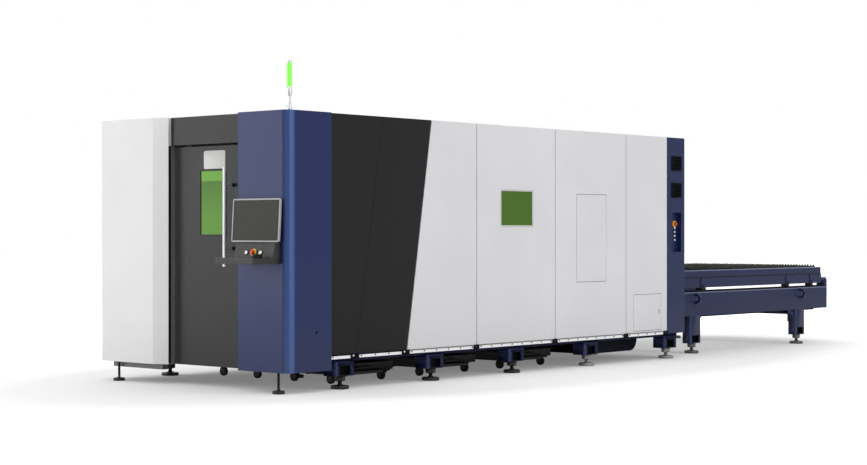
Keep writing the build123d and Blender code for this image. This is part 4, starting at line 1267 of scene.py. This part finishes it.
@dataclass
class PalletTrim:
    """Strips, beads, ribs and roller covers of the upper pallet, and the table's beads and track guards,
    with a dark strip as a painted shadow line and pale beads as painted highlights.
    """

    # Dark strip along the pallet's side: painted shadow line under the top flange
    seam: Strip = (TABLE_FACE - 0.0046, 0.0034, (0.7791, 0.7875), 0.001)
    shadow_strip_end: float = 0.002
    bead: tuple[float, float, float, int] = (0.011, 0.011, 0.005, 4)
    bead_end: float = 0.001
    bead_place: tuple[float, float] = (TABLE_FACE - 0.0120, 0.8560)
    top_place: tuple[float, float] = (TABLE_FACE - 0.0040, 0.6290)
    guard: Strip = (0.8572, 0.0060, (0.6332, 0.6555), 0.002)
    guard_ends: tuple[float, float] = (X_END + 0.012, X_TABLE_END - 0.080)
    buffer: Strip = (0.8352, 0.0066, (0.6486, 0.6789), 0.004)
    buffer_half: float = 0.0312
    rib: Strip = (TABLE_FACE + 0.004, 0.004, (0.667, 0.778), 0.002)
    rib_ends: tuple[float, float] = (-0.040, -0.033)
    cover: tuple[float, float, float] = (0.044, 0.070, 0.018)
    cover_level: float = 0.6775
    cover_steps: Profile = ((1.0, 0.0004), (1.0, 0.0055), (0.92, 0.0072))

    def build(self) -> None:
        """Make the trim that runs along both sides and the trim at each roller."""
        low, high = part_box("upper_pallet")
        seams, beads, ribs, tops, guards, covers = [Shape() for _ in range(6)]
        bead, cover = rounded_outline(*self.bead), rounded_outline(*self.cover)
        for side in BOTH:
            # Dark strip under the top flange: painted shadow line
            seams.strip((low.x + self.shadow_strip_end, high.x - self.shadow_strip_end), side, *self.seam)
            # Pale beads along the top edges of the pallet and the table's beams: painted highlight
            beads.rod((low.x + self.bead_end, high.x - self.bead_end), side, *self.bead_place, bead)
            tops.rod((X_END + self.bead_end, X_TABLE_END - self.bead_end), side, *self.top_place, bead)
            guards.strip(self.guard_ends, side, *self.guard)
            for x in roller_stations("upper_pallet"):
                seams.strip((x - self.buffer_half, x + self.buffer_half), side, *self.buffer)
                ribs.strip((x + self.rib_ends[0], x + self.rib_ends[1]), side, *self.rib)
                covers.plate(beside(x, TABLE_FACE, self.cover_level, side), cover, self.cover_steps)
        seams.build("pallet_shadow_and_buffer_strips", RUBBER, "upper_table", "black_plastic")
        beads.build("pallet_top_beads", HIGHLIGHT_BLUE, "upper_table", "pallet_blue")
        ribs.build("pallet_roller_ribs", TABLE_BLUE, "upper_table", "pallet_blue")
        tops.build("table_beam_beads", HIGHLIGHT_BLUE, "machine", "blue_paint")
        guards.build("table_track_guards", VENT, "machine", "black_plastic")
        covers.build("pallet_roller_covers", RUBBER, "upper_table", "black_plastic")


@dataclass
class SeamFiller:
    """Dark filler in the slanted seam between the two dark panels."""

    section: tuple[float, float, float] = (0.012, 0.003, 0.001)
    line: float = 0.003 - Y_PANEL
    lean: float = 0.310
    levels: tuple[float, float] = (0.281, TOP - 0.012)

    def build(self) -> None:
        """Make the filler: its section carried up the seam."""
        foot = SEAM_FEET[0]
        path = np.array([[foot, self.line, self.levels[0]], [foot + self.lean, self.line, self.levels[1]]])
        across = np.tile([1.0, 0.0, 0.0], (2, 1))
        filler = Shape().sweep(path, across, (0.0, 1.0, 0.0), rounded_outline(*self.section))
        filler.build("dark_seam_filler", DARK, "machine", "dark_paint")


def console_at(shift: float) -> Matrix:
    """Place on the console's slope, a shift across from its stop."""
    return facing(CONSOLE_SEAT + Vector((0.0, shift, 0.0)), CONSOLE_OUT)


def rear_at(step: int) -> Matrix:
    """Place in the end column's recess, a number of keys below its stop."""
    return facing(REAR_SEAT - Vector((0.0, 0.0, REAR_PITCH * step)), REAR_OUT)


@dataclass
class Collars:
    """Yellow collars round the stops and dark bezels round the buttons."""

    collar: Profile = ((0.012, 0.0), (0.031, 0.0), (0.031, 0.004), (0.029, 0.006), (0.020, 0.007),
                       (0.012, 0.007))
    bezel: Profile = ((0.0166, 0.0), (0.0215, 0.0), (0.0215, 0.003), (0.0202, 0.0040), (0.0170, 0.0040),
                      (0.0166, 0.003))
    small_bezel: Profile = ((0.0104, 0.0), (0.0140, 0.0), (0.0140, 0.002), (0.0130, 0.003), (0.0108, 0.003),
                            (0.0104, 0.002))

    def build(self) -> None:
        """Turn every ring round its control."""
        yellow, dark = Shape(), Shape()
        for place in (console_at(0.0), rear_at(0)):
            yellow.lathe(self.collar, place, Sides.FINE, hollow=True)
        for shift in CONSOLE_KEYS.values():
            dark.lathe(self.bezel, console_at(shift), Sides.BEZEL, hollow=True)
        for step in REAR_KEYS:
            dark.lathe(self.small_bezel, rear_at(step), Sides.PLAIN, hollow=True)
        yellow.build("stop_collars", YELLOW, "machine", "stop_red")
        dark.build("button_bezels", BLACK, "machine", "black_plastic")


@dataclass
class Controls:
    """Push buttons and mushroom stops, turned and crowned."""

    console_button: tuple[float, float] = (0.0139, 0.0160)
    rear_button: tuple[float, float] = (0.0099, 0.0099)
    stem: Sequence[float] = (-0.012, 0.0044)
    crown: Profile = ((1.0, 0.0046), (1.0, 0.007), (0.94, 0.0085), (0.82, 0.009), (0.70, 0.0084),
                      (0.3, 0.0079))
    stop: Profile = ((0.011, -0.012), (0.011, 0.012), (0.0185, 0.013), (0.0200, 0.016), (0.0200, 0.021),
                     (0.0188, 0.0245), (0.015, 0.0268), (0.008, 0.0278), (0.002, 0.0280))

    def build(self) -> None:
        """Make each control on its own CAD body."""
        for word, place in (("front", console_at(0.0)), ("rear", rear_at(0))):
            head = Shape().lathe(self.stop, place, Sides.FINE)
            piece = head.build(f"{word}_stop_head", RED, f"{word}_stop_key", "stop_red")
            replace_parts(piece, f"{word}_stop")
        for word, shift in CONSOLE_KEYS.items():
            place = console_at(shift)
            self._button(f"{word}_button", f"{word}_key", place, self.console_button, "button_white")
        for step in REAR_KEYS:
            place = rear_at(step)
            self._button(f"rear_button_{step}", f"rear_key_{step}", place, self.rear_button, "button_grey")

    def _button(self, node: str, body: str, place: Matrix, radii: tuple[float, float], slot: str) -> None:
        """Make one button: a plain stem under a head whose crown is dished.

        Args:
            node: CAD node that the button stands for.
            body: CAD body that it rides on.
            place: Where it sits, with Z out of the panel.
            radii: Radius of the stem and of the head.
            slot: Material slot of the record.
        """
        stem, head = radii
        profile = [(stem, level) for level in self.stem]
        profile += [(head * share, level) for share, level in self.crown]
        cap = Shape().lathe(profile, place, Sides.WHEEL).build(f"{node}_cap", BUTTON, body, slot)
        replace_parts(cap, node)


@dataclass
class Handle:
    """Bar handle of the door, on two posts with dark bushings."""

    radius: float = 0.015
    tip: Profile = ((0.004, 0.0), (0.0115, 0.0012), (0.015, 0.0045))
    post: float = 0.0105
    post_ends: tuple[float, float] = (0.010, 0.020)
    post_rise: float = 0.255
    bushing: Profile = ((0.012, 0.026), (0.0135, 0.024), (0.0135, 0.004), (0.018, 0.003), (0.018, 0.0002))

    def build(self) -> None:
        """Make the bar with rounded tips, its posts, and bushings measured back from the door."""
        low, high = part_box("door_handle")
        x, y = low.x + self.radius, (low.y + high.y) / 2.0
        length = high.z - low.z
        bar = list(self.tip) + [(radius, length - level) for radius, level in reversed(self.tip)]
        shape = Shape().lathe(bar, Matrix.Translation((x, y, low.z)), Sides.WHEEL)
        bushings = Shape()
        reach = high.x - x
        middle = (low.z + high.z) / 2.0
        for level in (middle - self.post_rise, middle + self.post_rise):
            plane = facing((x, y, level), (1.0, 0.0, 0.0))
            start, end = self.post_ends
            shape.lathe([(self.post, start), (self.post, reach - end)], plane, Sides.POST)
            bushings.lathe([(radius, reach - back) for radius, back in self.bushing], plane)
        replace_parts(shape.build("door_handle_bar", HANDLE, "door", "bright_steel"), "door_handle")
        bushings.build("door_handle_bushings", BLACK, "door", "black_plastic")


@dataclass
class Tower:
    """Signal tower: turned stem, ribbed lens and its cap."""

    stem: Profile = ((0.022, 0.0), (0.0228, 0.004), (0.0228, 0.032), (0.020, 0.036), (0.0135, 0.037),
                     (0.0135, 0.117), (0.017, 0.119), (0.0195, 0.122), (0.0195, 0.134), (0.0225, 0.137),
                     (0.0228, 0.140), (0.0228, 0.184), (0.0215, 0.186))
    lens: tuple[float, float, int] = (0.186, 0.370, 25)
    ribs: tuple[float, float] = (0.0219, 0.0226)
    cap: Profile = ((0.0228, 0.372), (0.0200, 0.3735), (0.0198, 0.390), (0.0185, 0.394), (0.012, 0.3968),
                    (0.003, 0.3978))

    def build(self) -> None:
        """Make the stem, the lens, whose radius goes in and out rib by rib, and the cap."""
        low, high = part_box("tower_stem")
        spot = Matrix.Translation(((low.x + high.x) / 2, (low.y + high.y) / 2, low.z))
        stem = Shape().lathe(self.stem, spot, Sides.TOWER)
        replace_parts(stem.build("tower_stem_turned", ALLOY, "machine", "tower_alloy"), "tower_stem")
        levels = np.linspace(*self.lens)
        lens = [(self.ribs[index % 2], float(level)) for index, level in enumerate(levels)]
        glow = Shape().lathe(lens, spot, Sides.TOWER).build("tower_lens", LAMP, "machine", "lamp_green")
        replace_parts(glow, "tower_lamp")
        Shape().lathe(self.cap, spot, Sides.TOWER).build("tower_cap", ALLOY, "machine", "tower_alloy")


@dataclass
class PalletRollers:
    """Tyres over the rollers of one pallet, with their axle heads."""

    node: str
    body: str
    half: float
    track: float
    inset: float = 0.036
    rise: float = 0.0283
    head_out: float = 0.012
    tread: Profile = ((0.020, 0.0002), (0.0275, 0.0004), (0.0281, 0.002), (0.0281, 0.030), (0.0270, 0.0322),
                      (0.0180, 0.0325), (0.0165, 0.0290), (0.008, 0.0288))
    head: Profile = ((0.013, 0.0), (0.013, 0.007), (0.0115, 0.009), (0.004, 0.0092))

    def build(self) -> None:
        """Turn a tyre and an axle head at every roller."""
        tyres, heads = Shape(), Shape()
        face, level = self.half - self.inset, self.track + self.rise
        for side in BOTH:
            for x in roller_stations(self.node):
                tyres.lathe(self.tread, facing((x, side * face, level), (0.0, -side, 0.0)), Sides.WHEEL)
                heads.lathe(self.head, beside(x, face + self.head_out, level, side), Sides.HEXAGON)
        tyres.build(f"{self.node}_tyres", RUBBER, self.body, "black_plastic")
        heads.build(f"{self.node}_axle_heads", IRON, self.body, "foot_iron", FACETED)


@dataclass
class CartFittings:
    """Wheels and pans of the scrap carts."""

    line: float = 0.440
    axle: tuple[float, float, float] = (0.2917, 0.215, 0.0415)
    wheel: Profile = ((0.024, 0.0), (0.0392, 0.0002), (0.0412, 0.002), (0.0414, 0.013), (0.0412, 0.0245),
                      (0.0392, 0.0263), (0.027, 0.0264), (0.024, 0.022), (0.009, 0.022), (0.009, 0.0265),
                      (0.003, 0.0268))
    pan_half: tuple[float, float] = (0.255, 0.290)
    pan_levels: tuple[float, float] = (0.067, 0.0898)
    pan_round: float = 0.020

    def build(self) -> None:
        """Make four wheels and a pan for each cart, the near row first."""
        carts = [(x, side * self.line) for side in BOTH for x in CARTS]
        out_by, along, level = self.axle
        half_x, half_y = self.pan_half
        for number, (x, y) in enumerate(carts, start=1):
            wheels = Shape()
            for out in BOTH:
                for shift in (-along, along):
                    spot = (x + out * out_by, y + shift, level)
                    wheels.lathe(self.wheel, facing(spot, (out, 0.0, 0.0)), Sides.WHEEL)
            wheels.build(f"cart_wheels_{number}", RUBBER, f"cart_{number}", "black_plastic")
            low, high = self.pan_levels
            pan = Shape().bar((x - half_x, y - half_y, low), (x + half_x, y + half_y, high), self.pan_round)
            pan.build(f"cart_pan_{number}", IRON, f"cart_{number}", "cart_steel")


@dataclass
class Roof:
    """Cover strips over the roof's seams, and the catch of the hatch."""

    strip: tuple[float, float] = (0.060, 0.006)
    strip_end: float = 0.06
    strip_steps: Profile = ((1.0, 0.0002), (1.0, 0.002), (0.99, 0.003))
    catch: tuple[float, float, float] = (0.014, 0.040, 0.006)
    catch_spot: tuple[float, float] = (0.8175, 0.479)
    catch_steps: Profile = ((1.0, 0.0), (1.0, 0.003), (0.85, 0.0045))

    def build(self) -> None:
        """Make the strips across the roof and the flush catch."""
        low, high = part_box("roof_panels")
        strips = Shape()
        width, corner = self.strip
        outline = rounded_outline(width, high.y - low.y - self.strip_end, corner)
        for x in (X_B, X_C, X_D):
            plane = facing((x, (low.y + high.y) / 2.0, high.z), UPWARD)
            strips.plate(plane, outline, self.strip_steps)
        # Strips in the darker roof white: painted shade
        strips.build("roof_seam_strips", SHADED_ROOF_WHITE, "machine", "white_paint")
        x, level = self.catch_spot
        plane = beside(x, Y_PANEL, level, -1.0)
        catch = Shape().plate(plane, rounded_outline(*self.catch), self.catch_steps)
        catch.build("hatch_catch", SILVER, "hatch_leaf", "bright_steel")


@dataclass
class Screws:
    """Rows of small socket-headed screws on flat faces."""

    name: str
    spots: Sequence[tuple[float, float, float]]
    out: tuple[float, float, float]
    finish: Finish
    radius: float = 0.0062
    head: Profile = ((1.0, 0.0), (1.0, 0.35), (0.86, 0.62), (0.5, 0.74), (0.48, 0.35))

    def build(self) -> None:
        """Turn the screw heads, each with its socket, from a profile in radii."""
        shape = Shape()
        head = [(self.radius * out, self.radius * rise) for out, rise in self.head]
        for spot in self.spots:
            shape.lathe(head, facing(spot, self.out), Sides.SCREW)
        shape.build(self.name, self.finish, "machine", "bright_steel")


@dataclass
class PanelScrews:
    """Screws along the fixing strips of both long sides, the rear panels and the roof strips."""

    pitch: float = 0.15
    end: float = 0.06
    strip_level: float = 0.261
    rear_levels: tuple[float, float, int] = (0.36, 2.10, 6)
    rear_shift: float = 0.045
    roof_lines: tuple[float, float, int] = (-0.95, 0.95, 8)
    roof_rise: float = 0.003

    def build(self) -> None:
        """Make the four groups of screws."""
        ends = (X_DARK,) + SEAM_FEET + (X_B, X_C, X_D, X_COLUMN)
        counts = [max(2, round((b - a) / self.pitch)) for a, b in zip(ends, ends[1:])]
        rows = [np.linspace(a + self.end, b - self.end, n) for a, b, n in zip(ends, ends[1:], counts)]
        for side, word in zip(BOTH, ("near", "far")):
            spots = [(x, side * Y_PANEL, self.strip_level) for x in np.concatenate(rows).tolist()]
            Screws(f"strip_screws_{word}", spots, (0.0, side, 0.0), IRON).build()
        edges = [x + shift for x in (X_B, X_C, X_D) for shift in (-self.rear_shift, self.rear_shift)]
        spots = [(x, Y_PANEL, level) for x in edges for level in np.linspace(*self.rear_levels).tolist()]
        Screws("rear_panel_screws", spots, (0.0, 1.0, 0.0), TRACK).build()
        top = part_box("roof_panels")[1].z + self.roof_rise
        spots = [(x, y, top) for x in (X_B, X_C, X_D) for y in np.linspace(*self.roof_lines).tolist()]
        Screws("roof_strip_screws", spots, UPWARD, TRACK).build()


@dataclass(frozen=True)
class Panel:
    """One soft light: where it hangs, what it aims at, its size in metres and its power in watts."""

    name: str
    spot: tuple[float, float, float]
    aim: tuple[float, float, float]
    size: tuple[float, float]
    power: float


@dataclass
class Studio:
    """Pale floor, soft light and a camera at the photograph's place."""

    panels: Sequence[Panel] = (
        Panel("sky", (0.0, 0.0, 14.0), (0.0, 0.0, 0.0), (26.0, 26.0), 2750.0),
        Panel("front_sheen", (-14.0, 9.5, 2.5), (-4.0, 0.0, 1.2), (9.0, 9.0), 1150.0),
        Panel("key", (-13.0, -1.0, 8.0), (-4.0, 0.0, 1.0), (6.0, 6.0), 200.0),
        Panel("corner_strip", (-4.4, -13.0, 1.5), (-4.3, -1.1, 1.3), (0.8, 6.0), 120.0),
        Panel("long_fill", (0.0, -13.0, 7.0), (0.5, 0.0, 0.8), (9.0, 9.0), 520.0),
        Panel("rear_fill", (7.0, 12.0, 8.0), (0.5, 0.0, 0.8), (9.0, 9.0), 330.0))
    floor_half: float = 80.0
    floor_tones: tuple[float, float] = (0.89, 0.91)
    seen_tone: float = 0.74
    lift: tuple[float, float] = (0.19, 1.1)
    lift_shift: tuple[float, float, float] = (0.40, 0.0, 0.0)
    lift_squeeze: tuple[float, float, float] = (0.45, 1.0, 1.0)
    lift_start: float = 2.2
    lift_span: float = 2.8
    soft: tuple[float, float, float, float] = (0.97, 0.98, 1.0, 1.0)
    soft_strength: float = 0.10
    sensor: float = 36.0
    focal_pixels: float = 1784.0
    image_width: float = 867.0
    clip_end: float = 300.0
    eye: tuple[float, float, float] = (X_FACE - 9.583, -Y_PANEL - 9.904, 1.246)
    yaw: float = 41.127
    pitch: float = 0.0255

    def build(self) -> None:
        """Make the stage, the lights and the camera."""
        self._floor()
        self._world()
        for panel in self.panels:
            self._light(panel)
        self._camera()

    def _floor(self) -> None:
        """Make the floor: plain for the light and, where it is seen, lifted to white further out."""
        graph = Graph(bpy.data.materials.new("studio_floor"))
        place = graph.place()
        dim, bright = [grey(tone) for tone in self.floor_tones]
        colour = graph.mix(graph.noise(place, scale=0.5), dim, bright)
        plain = graph.node("ShaderNodeBsdfDiffuse", {"Color": colour})
        pale = graph.node("ShaderNodeBsdfDiffuse", {"Color": grey(self.seen_tone)})
        squeeze = {"Vector": place, "Location": self.lift_shift, "Scale": self.lift_squeeze}
        squeezed = graph.node("ShaderNodeMapping", squeeze)
        reach = graph.node("ShaderNodeVectorMath", {0: squeezed}, output="Value", operation="LENGTH")
        far = ((reach - self.lift_start) / self.lift_span).clamped()
        lift = graph.mix(far, *[grey(tone) for tone in self.lift])
        glow = graph.node("ShaderNodeEmission", {"Color": lift})
        lit = graph.node("ShaderNodeAddShader", {0: pale, 1: glow})
        shader = graph.node("ShaderNodeMixShader", {0: graph.seen(), 1: plain, 2: lit})
        half = self.floor_half
        corners = [(-half, -half, 0.0), (half, -half, 0.0), (half, half, 0.0), (-half, half, 0.0)]
        mesh = bpy.data.meshes.new("studio_floor")
        mesh.from_pydata(corners, [], [(0, 1, 2, 3)])
        mesh.materials.append(graph.finish(shader))
        floor = bpy.data.objects.new("studio_floor", mesh)
        bpy.context.scene.collection.objects.link(floor)

    def _world(self) -> None:
        """Make the backdrop: white where it is seen, and a weak cool light elsewhere."""
        world = bpy.data.worlds.new("studio")
        bpy.context.scene.world = world
        graph = Graph(world)
        soft = graph.node("ShaderNodeBackground", {"Color": self.soft, "Strength": self.soft_strength})
        pale = graph.node("ShaderNodeBackground", {"Color": grey(1.0), "Strength": 1.0})
        graph.finish(graph.node("ShaderNodeMixShader", {0: graph.seen(), 1: soft, 2: pale}))

    @staticmethod
    def _light(panel: Panel) -> None:
        """Hang one soft light.

        Args:
            panel: The light's place, aim, size and power.
        """
        light = bpy.data.lights.new(panel.name, "AREA")
        light.shape = "RECTANGLE"
        light.size, light.size_y = panel.size
        light.energy = panel.power
        lamp = bpy.data.objects.new(panel.name, light)
        lamp.location = panel.spot
        lamp.rotation_euler = (Vector(panel.aim) - Vector(panel.spot)).to_track_quat("-Z", "Y").to_euler()
        bpy.context.scene.collection.objects.link(lamp)

    def _camera(self) -> None:
        """Set the camera, with the focal length and the angles solved from the photograph."""
        data = bpy.data.cameras.new("photo_camera")
        data.sensor_width = self.sensor
        data.lens = self.focal_pixels * self.sensor / self.image_width
        data.clip_end = self.clip_end
        camera = bpy.data.objects.new("photo_camera", data)
        yaw, pitch = math.radians(self.yaw), math.radians(self.pitch)
        ahead = Vector((math.cos(yaw) * math.cos(pitch), math.sin(yaw) * math.cos(pitch), math.sin(pitch)))
        camera.location = self.eye
        camera.rotation_mode = "QUATERNION"
        camera.rotation_quaternion = ahead.to_track_quat("-Z", "Y")
        bpy.context.scene.collection.objects.link(camera)
        bpy.context.scene.camera = camera


PALETTE = Palette()

DRESS = (
    CadDress(WHITE, ("white_panel_a", "white_panel_b", "white_panel_c", "white_panel_d", "rear_panels",
                     "service_door", "hatch", "table_end_wall"), 0.0015),
    CadDress(SHADED_ROOF_WHITE, ("roof_panels",), 0.0015),
    CadDress(COVER_WHITE, ("end_cover",), 0.0015, 8.0),
    CadDress(BLUE, ("corner_column",), 0.003),
    CadDress(SHADED_DUCT_BLUE, ("exhaust_duct",), 0.003),
    CadDress(SHADED_END_BLUE, ("end_column", "rear_end_column"), 0.003),
    CadDress(SHADED_FRAME_BLUE, ("base_frame",), 0.0),
    CadDress(TABLE_BLUE, ("table_frame", "upper_pallet", "lower_pallet"), 0.0),
    CadDress(DARK, ("dark_panel_front", "dark_panel_slanted"), 0.0015),
    CadDress(LEAF_GREY, ("door_panel",), 0.002),
    CadDress(DOOR_GREY, ("door_header",), 0.002),
    CadDress(INNER_GREY, ("enclosure_frame", "cutting_bed"), 0.0),
    CadDress(CONSOLE_GREY, ("console",), 0.003),
    CadDress(TRAY_GREY, ("keyboard_tray",), 0.003),
    CadDress(STRIP, ("skirt_strips",), 0.0015),
    CadDress(TRACK, ("door_track",), 0.0015),
    CadDress(RAIL_STEEL, ("x_guide_rails",), 0.001),
    CadDress(ALLOY, ("gantry_beam", "head_carriage", "cutting_head"), 0.003),
    CadDress(BLACK, ("gantry_drives", "mouse"), 0.002),
    CadDress(VENT, ("vent_grilles",), 0.0),
    CadDress(IRON, ("exchange_drive",) + tuple(f"scrap_cart_{index}" for index in range(1, 7)), 0.0),
    CadDress(SILVER, ("monitor",), 0.002),
    CadDress(SCREEN, ("monitor_screen",), 0.0),
    CadDress(DOOR_GLASS, ("door_window",), 0.0),
    CadDress(SIDE_GLASS, ("side_window",), 0.0),
)


def write_sizes() -> None:
    bpy.context.view_layer.update()


def main() -> None:
    """Dress the CAD nodes, add the fine pieces and set the stage."""
    logging.basicConfig(level=logging.INFO)
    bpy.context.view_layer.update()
    bpy.context.scene.view_settings.view_transform = "Standard"
    slats = [SlatBed("upper_slats", "upper_table"), SlatBed("lower_slats", "lower_table", seed=11)]
    rollers = [PalletRollers("upper_pallet", "upper_table", half=TABLE_FACE, track=0.633),
               PalletRollers("lower_pallet", "lower_table", half=0.745, track=0.380)]
    trim = [Feet(), DoorTrim(), TrayLip(), SeamLugs(), Collars(), Brackets(), LiftingEyes(), PalletTrim(),
            SeamFiller(), Controls(), Handle(), Tower()]
    for assembly in [*DRESS, *slats, *trim, *rollers, CartFittings(), Roof(), Studio(), PanelScrews()]:
        assembly.build()
        log.info("built %s", type(assembly).__name__)
    write_sizes()


if __name__ == "__main__":
    main()
